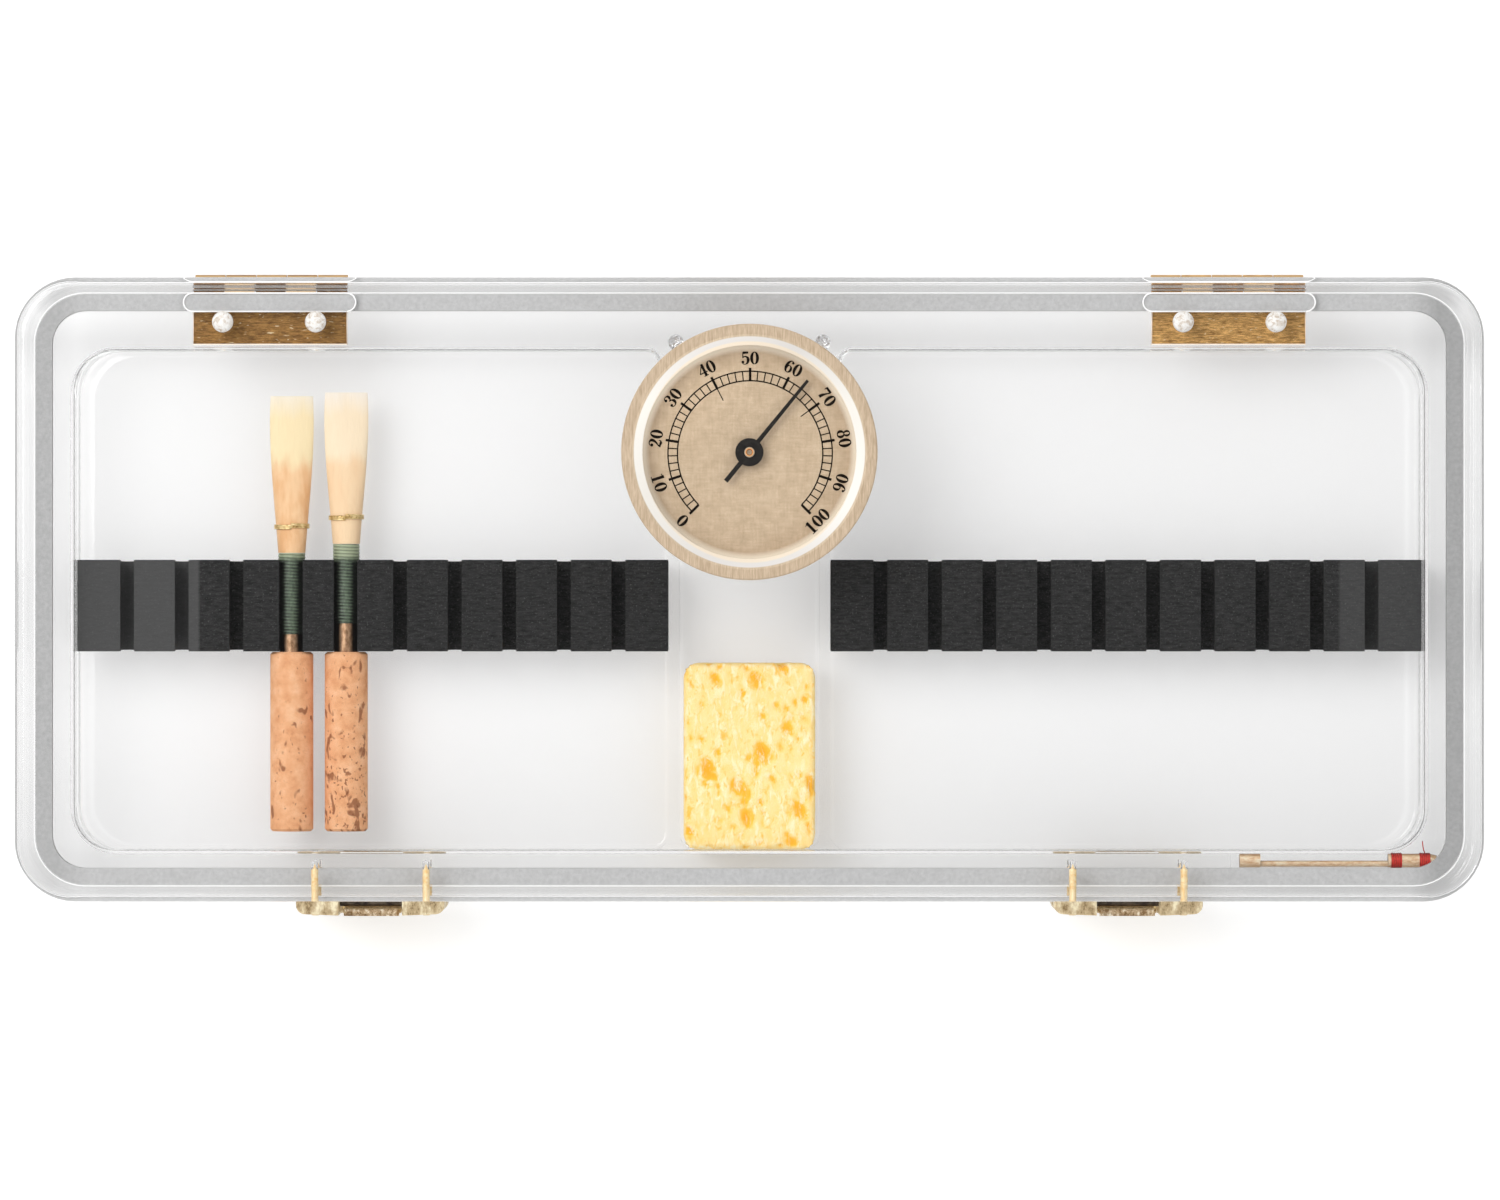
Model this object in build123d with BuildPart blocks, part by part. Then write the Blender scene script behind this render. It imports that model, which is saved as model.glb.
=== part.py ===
from build123d import *
import math
import os

# Oboe reed case: two clear acrylic shells hinged at the back, with a seal, two
# catches, a hygrometer in the lid, two slotted bars that hold the reeds, and a sponge.
# Millimetres. X runs along the case, +Y to the hinges, +Z up, and the origin is the
# centre of the underside. The case is closed, with its catches a touch off their snap.

os.makedirs("parts", exist_ok=True)

overrun = 1.0
fit_gap = 0.05

# Reeds, lying along Y with the cork to the front
cork_radius = 3.55
cork_length = 29.6
cork_edge = 0.4
cork_gap = 0.1
cork_room = 3.3
staple_foot_radius = 2.55
staple_taper = 0.0175
staple_wall = 0.35
thread_wall = 0.22
thread_end_wall = 0.12
thread_end_length = 1.5
cane_root_width = 4.5
cane_root_depth = 4.3
cane_wire_width = 5.2
cane_wire_depth = 4.1
cane_back_width = 6.4
cane_back_depth = 2.9
cane_tip_width = 7.0
cane_tip_depth = 0.9
cane_wall = 0.75
cane_tip_wall = 0.25
cane_back_share = 0.45
wire_radius = 0.16
wire_turns = 3
reed_1_bare = 2.9
reed_1_thread = 13.4
reed_1_cane = 25.9
reed_1_wire = 4.4
reed_2_bare = 4.7
reed_2_thread = 13.1
reed_2_cane = 25.0
reed_2_wire = 4.4
reed_tip_room = 7.05

reed_1_length = cork_length + reed_1_bare + reed_1_thread + fit_gap + reed_1_cane
reed_2_length = cork_length + reed_2_bare + reed_2_thread + fit_gap + reed_2_cane

# Shells
case_width = 240.0
base_height = 13.0
lid_height = 12.0
corner_radius = 10.0
edge_round = 1.85
parting_round = 1.5
parting_gap = 0.1
side_wall = 9.1
back_wall = 11.4
front_wall = 7.8
floor_thickness = 2.5
roof_thickness = 3.0
pocket_corner = 7.5
pocket_round = 0.8
divider_wall = 1.7
centre_bay_width = 23.2
divider_corner = 3.0

parting = base_height
lid_bottom = parting + parting_gap
lid_top = parting + lid_height
pocket_depth = cork_room + max(reed_1_length, reed_2_length) + reed_tip_room
pocket_width = case_width - 2 * side_wall
case_depth = front_wall + pocket_depth + back_wall
front_face = -case_depth / 2
back_face = case_depth / 2
pocket_front = front_face + front_wall
pocket_back = back_face - back_wall
pocket_y = (pocket_front + pocket_back) / 2
divider_x = (centre_bay_width + divider_wall) / 2

# Seal, a flat cord in a groove of the lid, on which the lid rests clear of the base
seal_width = 2.7
seal_height = 2.2
seal_inset_side = 3.0
seal_inset_front = 2.6
seal_corner = 8.2
seal_gap = 0.15
seal_overlap = 1.6

seal_length_x = case_width - 2 * seal_inset_side
seal_length_y = case_depth - 2 * seal_inset_front
seal_back_y = back_face - seal_inset_front - seal_width / 2
groove_width = seal_width + 2 * seal_gap

# Hinges
hinge_length = 25.2
hinge_end_inset = 41.4
hinge_inset = 0.6
knuckle_count = 5
knuckle_radius = 1.4
knuckle_gap = 0.15
knuckle_clearance = 0.3
hinge_pin_radius = 0.6
leaf_reach = 10.2
leaf_thickness = 0.8
seat_gap = 0.1
hinge_screw_spacing = 15.2
hinge_screw_reach = 6.6
hinge_screw_radius = 1.3
hinge_screw_head_radius = 2.05
hinge_screw_length = 5.4
screw_gap = 0.05
screw_slot_width = 0.5
screw_slot_depth = 0.35
screw_cone_angle = 90.0

hinge_offset = case_width / 2 - hinge_end_inset
hinge_y = back_face - hinge_inset
leaf_front = hinge_y - leaf_reach
screw_row_y = hinge_y - hinge_screw_reach
leaf_seat_depth = leaf_thickness + seat_gap
knuckle_pitch = hinge_length / knuckle_count

# Catches
catch_end_inset = 58.0
catch_width = 24.3
wing_depth = 2.4
wing_bow = 0.35
wing_corner = 1.5
wing_edge = 0.25
channel_width = 10.4
strap_thickness = 0.6
strike_height = 7.2
strike_rise = 1.7
keeper_height = 8.0
keeper_low = 3.2
bead_radius = 0.45
bead_rise = 1.3
strap_above_bead = 0.4
hook_gap = 0.2
hook_angle = 40.0
lip_radius = 0.5
lip_length = 0.4
lever_width = 9.6
lever_thickness = 0.5
lever_corner = 1.6
lever_rest_angle = 2.5
catch_pin_out = 1.3
catch_pin_rise = 3.0
catch_pin_radius = 0.5
catch_pin_hold = 2.2
catch_knuckle_radius = 1.0
window_gap = 0.35
nail_spacing = 18.2
nail_radius = 0.5
nail_gap = 0.05
nail_grip = 6.0
nail_point = 1.0
nail_hole_extra = 0.5
strike_nail_rise = 4.6
keeper_nail_rise = 2.0

catch_offset = case_width / 2 - catch_end_inset
strike_low = parting + strike_rise
bead_z = strike_low + bead_rise
catch_pin_z = keeper_low + catch_pin_rise
catch_pin_y = front_face - catch_pin_out

# Hygrometer
gauge_inset = 17.2
flange_radius = 20.9
flange_height = 1.2
flange_edge = 0.2
bezel_top_radius = 19.2
bezel_foot_radius = 17.45
bezel_drop = 1.0
sleeve_radius = 18.8
sleeve_wall = 0.5
sleeve_length = 3.6
bore_gap = 0.1
boss_radius = 19.9
boss_blend = 2.5
crystal_thickness = 0.9
crystal_crown = 0.25
gauge_gap = 0.05
cup_wall = 0.5
cup_floor_gap = 0.6
pointer_drop = 1.3
pointer_thickness = 0.3
hub_radius = 2.3
hub_thickness = 0.6
pointer_length = 15.1
pointer_tail = 6.1
pointer_root_width = 0.76
pointer_tip_width = 0.5
pointer_reading = 64.5
scale_span = 270.0
scale_full = 100.0
dial_drop = 2.4
dial_thickness = 0.4
dial_hole_gap = 0.25
arbor_radius = 0.82
arbor_rise = 0.25
arbor_dimple = 0.35
arbor_pivot_radius = 0.4
vent_count = 10
vent_length = 7.0
vent_width = 1.4
vent_ring_radius = 11.0
bridge_width = 4.0
bridge_span = 17.0
bridge_thickness = 0.8
bridge_rise = 2.0
coil_inner_radius = 1.3
coil_turns = 4
coil_pitch = 1.1
coil_strip = 0.3
coil_height = 2.0
coil_lift = 0.6
stud_radius = 0.5
set_screw_x = 12.0
set_screw_y = 18.0
set_screw_radius = 1.25
set_screw_length = 4.0
set_screw_sink = 0.6
set_screw_hole_depth = 6.0
hex_socket_width = 1.2
hex_socket_depth = 1.0

gauge_y = pocket_back - gauge_inset
flange_top = lid_top + flange_height
sleeve_bore = sleeve_radius - sleeve_wall
crystal_top = lid_top + flange_height - flange_edge - bezel_drop
crystal_low = crystal_top - crystal_thickness
cup_radius = sleeve_bore - gauge_gap
cup_low = parting + cup_floor_gap
pointer_z = crystal_low - pointer_drop
dial_z = crystal_low - dial_drop
bridge_z = cup_low + cup_wall + bridge_rise
coil_z = bridge_z + bridge_thickness + coil_lift

# Reed bars
bar_depth = 15.1
bar_foot_depth = 14.3
bar_height = 7.5
bar_end_gap = 0.1
bar_foot_chamfer = 1.0
slot_end_margin = 7.0
slot_pitch = 9.0
slot_width = 2.3
slot_eye_radius = 1.6
reed_slot_width = 3.9
reed_eye_radius = 2.4
eye_rise = 4.7
reed_slots = (3, 4)

bay_length = (pocket_width - centre_bay_width) / 2 - divider_wall
bay_x = (centre_bay_width + bay_length) / 2 + divider_wall
bar_length = bay_length - 2 * bar_end_gap
bar_top = floor_thickness + bar_height
bar_front = pocket_front + cork_room + cork_length + cork_gap
bar_y = bar_front + bar_depth / 2
slot_count = int((bar_length - 2 * slot_end_margin) / slot_pitch) + 1
eye_z = floor_thickness + eye_rise

# Sponge
sponge_width = 22.0
sponge_length = 31.1
sponge_height = 8.8
sponge_corner = 2.8
sponge_edge = 1.2
sponge_gap = 0.15

# Small brass tool in a channel of the front rim
tool_channel_depth = 2.85
tool_channel_reach = 2.7
tool_channel_end_inset = 41.0
tool_channel_length = 35.0
tool_channel_corner = 1.3
tool_end_gap = 1.5
tool_knob_length = 3.4
tool_rod_length = 21.0
tool_rod_radius = 0.5
tool_rod_offset = 0.5
tool_barrel_length = 6.9
tool_tip_length = 1.5
tool_tip_radius = 0.75
tool_binding_radius = 1.3
tool_barrel_radius = 1.15
tool_binding_length = 1.75
tool_collar_length = 0.5

tool_channel_x = case_width / 2 - tool_channel_end_inset
tool_x = tool_channel_x + tool_end_gap
tool_y = pocket_front - tool_channel_reach / 2
tool_z = parting - tool_channel_depth + tool_binding_radius + fit_gap

sides = (("left", -1), ("right", 1))


def save(part, name):
    """Label a finished piece and write it to its own file."""
    part.label = name
    export_step(part, "parts/" + name + ".step")


def along_x(x):
    """A plane square to X, on which the local axes are Y and Z."""
    return Plane.YZ.offset(x)


def along_y(y):
    """A plane square to Y, on which the local axes are X and Z."""
    return Plane.XZ.offset(-y)


# One hinge screw, its head at the origin and its point down
with BuildPart() as hinge_screw:
    with BuildSketch(Plane.XZ):
        with BuildLine():
            Polyline(
                (0, 0),
                (hinge_screw_head_radius, 0),
                (hinge_screw_radius, hinge_screw_radius - hinge_screw_head_radius),
                (hinge_screw_radius, hinge_screw_radius - hinge_screw_length),
                (0, -hinge_screw_length),
                close=True,
            )
        make_face()
    revolve(axis=Axis.Z)
    with BuildSketch():
        Rectangle(2 * hinge_screw_head_radius, screw_slot_width)
    extrude(amount=-screw_slot_depth, mode=Mode.SUBTRACT)

screw_points = [
    (sign * hinge_offset + end * hinge_screw_spacing / 2, screw_row_y)
    for name, sign in sides
    for end in (-1, 1)
]


def catch_outline(depth):
    """Plan of a catch half: flat at the case, bowed and rounded at the front."""
    half = catch_width / 2
    with BuildSketch() as outline:
        with BuildLine():
            Line((-half, 0), (half, 0))
            Line((half, 0), (half, -depth))
            ThreePointArc((half, -depth), (0, -depth - wing_bow), (-half, -depth))
            Line((-half, -depth), (-half, 0))
        make_face()
        fillet(outline.vertices().group_by(Axis.Y)[0], wing_corner)
    return outline.sketch


def catch_half(x, low, height, nail_rise, window_z=None):
    """A cast half of a catch, its two wings joined by a thin strap behind the lever."""
    with BuildPart() as half:
        with BuildSketch(Plane((x, front_face, low))):
            add(catch_outline(wing_depth - wing_bow))
        extrude(amount=height)
        front_edges = half.faces().sort_by(Axis.Z)[0].edges()
        front_edges += half.faces().sort_by(Axis.Z)[-1].edges()
        fillet([e for e in front_edges if e.center().Y < front_face - nail_gap], wing_edge)
        with BuildSketch(Plane((x, front_face, low))):
            with Locations((0, -strap_thickness)):
                Rectangle(channel_width, wing_depth, align=(Align.CENTER, Align.MAX))
        extrude(amount=height, mode=Mode.SUBTRACT)
        with BuildSketch(along_y(front_face)):
            with Locations((x - nail_spacing / 2, low + nail_rise), (x + nail_spacing / 2, low + nail_rise)):
                Circle(nail_radius + nail_gap)
        extrude(amount=wing_depth + overrun, mode=Mode.SUBTRACT)
        if window_z is not None:
            window = 2 * (catch_knuckle_radius + window_gap)
            with BuildSketch(along_y(front_face)):
                with Locations((x, window_z)):
                    Rectangle(channel_width, window)
            extrude(amount=strap_thickness, mode=Mode.SUBTRACT)
            with BuildSketch(along_x(x)):
                with Locations((catch_pin_y, window_z)):
                    Circle(catch_pin_radius + fit_gap)
            extrude(amount=channel_width / 2 + catch_pin_hold, both=True, mode=Mode.SUBTRACT)
    return half.part


def nail_group(low, nail_rise):
    """Four headless nails, two to a catch, flush with its wings and driven into the case."""
    face_y = front_face - wing_depth
    with BuildPart() as nails:
        for name, sign in sides:
            for end in (-1, 1):
                x = sign * catch_offset + end * nail_spacing / 2
                axis_plane = Plane((x, face_y, low + nail_rise), x_dir=(0, 1, 0), z_dir=(1, 0, 0))
                tip = wing_depth + nail_grip
                with BuildSketch(axis_plane):
                    with BuildLine():
                        Polyline(
                            (0, 0),
                            (0, nail_radius),
                            (tip - nail_point, nail_radius),
                            (tip, 0),
                            close=True,
                        )
                    make_face()
                revolve(axis=Axis((x, face_y, low + nail_rise), (0, 1, 0)))
    return nails.part


def hinge_leaf(centre_x, rise, knuckles):
    """A hinge leaf on the parting plane, up or down by rise, with its own knuckles."""
    start_x = centre_x - hinge_length / 2
    clear_y = hinge_y - knuckle_radius - knuckle_clearance
    with BuildPart() as leaf:
        with BuildSketch(Plane.XY.offset(parting)):
            with Locations((centre_x, leaf_front)):
                Rectangle(hinge_length, leaf_reach, align=(Align.CENTER, Align.MIN))
        extrude(amount=rise)
        for number in range(knuckle_count):
            if number not in knuckles:
                with BuildSketch(Plane.XY.offset(parting)):
                    with Locations((start_x + (number + 0.5) * knuckle_pitch, clear_y)):
                        Rectangle(
                            knuckle_pitch + knuckle_gap,
                            leaf_reach,
                            align=(Align.CENTER, Align.MIN),
                        )
                extrude(amount=rise, mode=Mode.SUBTRACT)
        for number in knuckles:
            with BuildSketch(along_x(start_x + number * knuckle_pitch + knuckle_gap / 2)):
                with Locations((hinge_y, parting)):
                    Circle(knuckle_radius)
            extrude(amount=knuckle_pitch - knuckle_gap)
        with BuildSketch(along_x(start_x - overrun)):
            with Locations((hinge_y, parting)):
                Circle(hinge_pin_radius + fit_gap)
        extrude(amount=hinge_length + 2 * overrun, mode=Mode.SUBTRACT)
        turn = 0 if rise < 0 else 180
        screws_x = [x for x, y in screw_points if abs(x - centre_x) < hinge_length]
        with Locations([Location((x, screw_row_y, parting), (turn, 0, 0)) for x in screws_x]):
            CounterSinkHole(
                hinge_screw_radius + screw_gap,
                hinge_screw_head_radius + screw_gap,
                depth=leaf_thickness,
                counter_sink_angle=screw_cone_angle,
            )
    return leaf.part


def hinge_seats(rise):
    """What both hinges take out of a shell: leaf seats, barrel reliefs, screw holes."""
    with BuildPart() as seats:
        for name, sign in sides:
            with BuildSketch(Plane.XY.offset(parting)):
                with Locations((sign * hinge_offset, leaf_front - seat_gap)):
                    Rectangle(
                        hinge_length + 2 * seat_gap,
                        leaf_reach + seat_gap,
                        align=(Align.CENTER, Align.MIN),
                    )
            extrude(amount=rise * leaf_seat_depth)
            with BuildSketch(along_x(sign * hinge_offset)):
                with Locations((hinge_y, parting)):
                    Circle(knuckle_radius + knuckle_clearance)
            extrude(amount=hinge_length / 2 + seat_gap, both=True)
        with BuildSketch(Plane.XY.offset(parting)):
            with Locations(screw_points):
                Circle(hinge_screw_radius + screw_gap)
        extrude(amount=rise * (hinge_screw_length + screw_gap))
    return seats.part


def nail_holes(low, nail_rise):
    """Blind holes for the nails of both catches."""
    with BuildPart() as holes:
        with BuildSketch(along_y(front_face)):
            for name, sign in sides:
                with Locations((sign * catch_offset, low + nail_rise)):
                    with GridLocations(nail_spacing, 0, 2, 1):
                        Circle(nail_radius + nail_gap)
        extrude(amount=-(nail_grip + nail_hole_extra))
    return holes.part


base_hinge_seats = hinge_seats(-1)
lid_hinge_seats = hinge_seats(1)
keeper_nail_holes = nail_holes(keeper_low, keeper_nail_rise)
strike_nail_holes = nail_holes(strike_low, strike_nail_rise)

# Base tray: three bays between two dividers
with BuildPart() as base_tray:
    with BuildSketch():
        RectangleRounded(case_width, case_depth, corner_radius)
    extrude(amount=base_height)
    fillet(base_tray.faces().sort_by(Axis.Z)[0].edges(), edge_round)
    fillet(base_tray.faces().sort_by(Axis.Z)[-1].edges(), parting_round)
    with BuildSketch(Plane.XY.offset(parting)) as bays:
        with Locations((0, pocket_y)):
            RectangleRounded(pocket_width, pocket_depth, pocket_corner)
            with GridLocations(2 * divider_x, 0, 2, 1):
                Rectangle(divider_wall, pocket_depth, mode=Mode.SUBTRACT)
        inner = [v for v in bays.vertices() if abs(v.X) < centre_bay_width]
        fillet(inner, divider_corner)
    extrude(amount=floor_thickness - base_height, mode=Mode.SUBTRACT)
    floor = base_tray.faces().filter_by(Axis.Z).group_by(Axis.Z)[1]
    fillet(floor.edges(), pocket_round)
    with BuildSketch(Plane.XY.offset(parting)) as tool_channel:
        with Locations((tool_channel_x, pocket_front - tool_channel_reach)):
            Rectangle(
                tool_channel_length,
                tool_channel_reach + pocket_round,
                align=(Align.MIN, Align.MIN),
            )
        fillet(tool_channel.vertices().group_by(Axis.X)[-1], tool_channel_corner)
    extrude(amount=-tool_channel_depth, mode=Mode.SUBTRACT)
    add(base_hinge_seats, mode=Mode.SUBTRACT)
    add(keeper_nail_holes, mode=Mode.SUBTRACT)
save(base_tray.part, "base_tray")

# Lid shell: one pocket, round the hygrometer's boss
with BuildPart() as lid_shell:
    with BuildSketch(Plane.XY.offset(lid_bottom)):
        RectangleRounded(case_width, case_depth, corner_radius)
    extrude(amount=lid_top - lid_bottom)
    fillet(lid_shell.faces().sort_by(Axis.Z)[-1].edges(), edge_round)
    fillet(lid_shell.faces().sort_by(Axis.Z)[0].edges(), parting_round)
    with BuildSketch(Plane.XY.offset(parting)) as pocket:
        with Locations((0, pocket_y)):
            RectangleRounded(pocket_width, pocket_depth, pocket_corner)
        with Locations((0, gauge_y)):
            Circle(boss_radius, mode=Mode.SUBTRACT)
        horns = [v for v in pocket.vertices() if abs(v.X) < boss_radius]
        fillet(horns, boss_blend)
    extrude(amount=lid_height - roof_thickness, mode=Mode.SUBTRACT)
    roof = lid_shell.faces().filter_by(Axis.Z).group_by(Axis.Z)[-2]
    fillet(roof.edges(), pocket_round)
    with BuildSketch(Plane.XY.offset(parting)):
        with Locations((0, gauge_y)):
            Circle(sleeve_radius + bore_gap)
    extrude(amount=lid_height, mode=Mode.SUBTRACT)
    with BuildSketch(Plane.XY.offset(parting)):
        RectangleRounded(seal_length_x + 2 * seal_gap, seal_length_y + 2 * seal_gap, seal_corner + seal_gap)
        RectangleRounded(
            seal_length_x - 2 * seal_width - 2 * seal_gap,
            seal_length_y - 2 * seal_width - 2 * seal_gap,
            seal_corner - seal_width - seal_gap,
            mode=Mode.SUBTRACT,
        )
    extrude(amount=seal_height, mode=Mode.SUBTRACT)
    with BuildSketch(Plane.XY.offset(parting)):
        with Locations((0, seal_back_y)):
            with GridLocations(2 * hinge_offset, 0, 2, 1):
                SlotOverall(hinge_length + 2 * seal_overlap, groove_width)
    extrude(amount=leaf_seat_depth + seal_height, mode=Mode.SUBTRACT)
    with BuildSketch(Plane.XY.offset(parting)):
        with Locations((0, gauge_y + set_screw_y)):
            with GridLocations(2 * set_screw_x, 0, 2, 1):
                Circle(set_screw_radius + screw_gap)
    extrude(amount=set_screw_hole_depth, mode=Mode.SUBTRACT)
    add(lid_hinge_seats, mode=Mode.SUBTRACT)
    add(strike_nail_holes, mode=Mode.SUBTRACT)
save(lid_shell.part, "lid_shell")

# Seal: it rises over the hinge leaves in deeper, round-ended stretches of its groove
with BuildPart() as seal:
    with BuildSketch(Plane.XY.offset(parting)):
        RectangleRounded(seal_length_x, seal_length_y, seal_corner)
        RectangleRounded(
            seal_length_x - 2 * seal_width,
            seal_length_y - 2 * seal_width,
            seal_corner - seal_width,
            mode=Mode.SUBTRACT,
        )
    extrude(amount=seal_height)
    with BuildSketch(Plane.XY.offset(parting)):
        with Locations((0, seal_back_y)):
            with GridLocations(2 * hinge_offset, 0, 2, 1):
                SlotOverall(hinge_length + 2 * seal_overlap - 2 * seal_gap, seal_width)
    extrude(amount=leaf_seat_depth + seal_height)
    with BuildSketch(Plane.XY.offset(parting)):
        with Locations((0, seal_back_y)):
            with GridLocations(2 * hinge_offset, 0, 2, 1):
                Rectangle(hinge_length + 2 * seat_gap, groove_width)
    extrude(amount=leaf_seat_depth, mode=Mode.SUBTRACT)
save(seal.part, "lid_seal")

# Hinges: the base leaf has the odd knuckles, the lid leaf the even ones
for side, sign in sides:
    centre_x = sign * hinge_offset
    save(hinge_leaf(centre_x, -leaf_thickness, range(0, knuckle_count, 2)), "hinge_base_leaf_" + side)
    save(hinge_leaf(centre_x, leaf_thickness, range(1, knuckle_count, 2)), "hinge_lid_leaf_" + side)
    with BuildPart() as hinge_pin:
        with BuildSketch(along_x(centre_x)):
            with Locations((hinge_y, parting)):
                Circle(hinge_pin_radius)
        extrude(amount=hinge_length / 2, both=True)
    save(hinge_pin.part, "hinge_pin_" + side)

with BuildPart() as base_hinge_screws:
    with Locations([Location((x, y, parting)) for x, y in screw_points]):
        add(hinge_screw.part)
save(base_hinge_screws.part, "hinge_screws_base")

with BuildPart() as lid_hinge_screws:
    with Locations([Location((x, y, parting), (180, 0, 0)) for x, y in screw_points]):
        add(hinge_screw.part)
save(lid_hinge_screws.part, "hinge_screws_lid")

# Catches: a strike with a bead on the lid, open above it, a keeper on the base, a sprung lever between
for side, sign in sides:
    centre_x = sign * catch_offset
    plain_strike = catch_half(centre_x, strike_low, strike_height, strike_nail_rise)
    with BuildPart() as strike:
        add(plain_strike)
        with BuildSketch(along_x(centre_x)):
            with Locations((front_face - strap_thickness, bead_z)):
                Circle(bead_radius)
        extrude(amount=channel_width / 2, both=True)
        with BuildSketch(along_y(front_face)):
            with Locations((centre_x, bead_z)):
                Rectangle(channel_width, 2 * bead_radius + overrun)
        extrude(amount=-overrun, mode=Mode.SUBTRACT)
        strap_top = bead_z + bead_radius + strap_above_bead
        with BuildSketch(Plane((centre_x, front_face, strap_top))):
            Rectangle(channel_width, wing_depth, align=(Align.CENTER, Align.MAX))
        extrude(amount=strike_height, mode=Mode.SUBTRACT)
    save(strike.part, "catch_strike_" + side)

    keeper = catch_half(centre_x, keeper_low, keeper_height, keeper_nail_rise, catch_pin_z)
    save(keeper, "catch_keeper_" + side)

    with BuildPart() as catch_pin:
        with BuildSketch(along_x(centre_x)):
            with Locations((catch_pin_y, catch_pin_z)):
                Circle(catch_pin_radius)
        extrude(amount=channel_width / 2 + catch_pin_hold - fit_gap, both=True)
    save(catch_pin.part, "catch_pin_" + side)

    # The lever's own plane: x outward from the pin, y up along the lever
    tilt = math.radians(lever_rest_angle)
    lever_plane = Plane(
        (centre_x, catch_pin_y, catch_pin_z),
        x_dir=(0, -math.cos(tilt), -math.sin(tilt)),
        z_dir=(-1, 0, 0),
    )
    bead_out = strap_thickness - catch_pin_out
    bead_up = bead_z - catch_pin_z
    curl = bead_radius + hook_gap + lever_thickness / 2
    turn = math.radians(hook_angle)
    curl_end = (bead_out + curl * math.cos(turn), bead_up + curl * math.sin(turn))
    lip_centre = (
        curl_end[0] + lip_radius * math.cos(turn),
        curl_end[1] + lip_radius * math.sin(turn),
    )
    with BuildPart() as lever:
        with BuildSketch(lever_plane):
            with BuildLine():
                Line((bead_out + curl, 0), (bead_out + curl, bead_up))
                CenterArc((bead_out, bead_up), curl, 0, hook_angle)
                CenterArc(lip_centre, lip_radius, 180 + hook_angle, -90 - hook_angle)
                Line(
                    (lip_centre[0], lip_centre[1] + lip_radius),
                    (lip_centre[0] + lip_length, lip_centre[1] + lip_radius),
                )
            trace(line_width=lever_thickness)
            Circle(catch_knuckle_radius)
            Circle(catch_pin_radius + fit_gap, mode=Mode.SUBTRACT)
        extrude(amount=lever_width / 2, both=True)
        lever_top = bead_up + curl + lip_radius + lever_thickness
        front_view = Plane(
            (centre_x, catch_pin_y, catch_pin_z),
            x_dir=(1, 0, 0),
            z_dir=(0, -math.cos(tilt), -math.sin(tilt)),
        )
        with BuildSketch(front_view) as face_outline:
            with Locations((0, -catch_knuckle_radius)):
                Rectangle(
                    lever_width,
                    lever_top + catch_knuckle_radius,
                    align=(Align.CENTER, Align.MIN),
                )
            fillet(face_outline.vertices().group_by(Axis.Y)[-1], lever_corner)
        extrude(amount=wing_depth, both=True, mode=Mode.INTERSECT)
    save(lever.part, "catch_lever_" + side)

save(nail_group(strike_low, strike_nail_rise), "catch_nails_lid")
save(nail_group(keeper_low, keeper_nail_rise), "catch_nails_base")

# Hygrometer, turned about its own axis
gauge_axis = Axis((0, gauge_y, 0), (0, 0, 1))

with BuildPart() as flange:
    with BuildSketch(along_y(gauge_y)):
        with BuildLine():
            Polyline(
                (sleeve_radius, lid_top),
                (flange_radius, lid_top),
                (flange_radius, flange_top - flange_edge),
                (flange_radius - flange_edge, flange_top),
                (bezel_top_radius, flange_top),
                (bezel_foot_radius, flange_top - bezel_drop),
                (bezel_foot_radius, crystal_top),
                (sleeve_bore, crystal_top),
                (sleeve_bore, lid_top - sleeve_length),
                (sleeve_radius, lid_top - sleeve_length),
                close=True,
            )
        make_face()
    revolve(axis=gauge_axis)
save(flange.part, "hygrometer_flange")

with BuildPart() as crystal:
    with BuildSketch(along_y(gauge_y)):
        shoulder = crystal_top - gauge_gap
        with BuildLine():
            Polyline(
                (0, shoulder + crystal_crown),
                (0, crystal_low),
                (cup_radius, crystal_low),
                (cup_radius, shoulder),
                (bezel_foot_radius - gauge_gap, shoulder),
            )
            TangentArc(
                (0, shoulder + crystal_crown),
                (bezel_foot_radius - gauge_gap, shoulder),
                tangent=(1, 0),
            )
        make_face()
    revolve(axis=gauge_axis)
save(crystal.part, "hygrometer_crystal")

with BuildPart() as cup:
    with BuildSketch(along_y(gauge_y)):
        with BuildLine():
            Polyline(
                (0, cup_low),
                (cup_radius, cup_low),
                (cup_radius, crystal_low - gauge_gap),
                (cup_radius - cup_wall, crystal_low - gauge_gap),
                (cup_radius - cup_wall, cup_low + cup_wall),
                (0, cup_low + cup_wall),
                close=True,
            )
        make_face()
    revolve(axis=gauge_axis)
    with BuildSketch(Plane.XY.offset(cup_low)):
        with Locations((0, gauge_y)):
            with PolarLocations(vent_ring_radius, vent_count):
                SlotOverall(vent_length, vent_width)
    extrude(amount=cup_wall, mode=Mode.SUBTRACT)
save(cup.part, "hygrometer_case")

with BuildPart() as dial:
    with BuildSketch(Plane.XY.offset(dial_z - dial_thickness)):
        with Locations((0, gauge_y)):
            Circle(cup_radius - cup_wall - gauge_gap)
            Circle(arbor_radius + dial_hole_gap, mode=Mode.SUBTRACT)
    extrude(amount=dial_thickness)
save(dial.part, "hygrometer_dial")

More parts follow.
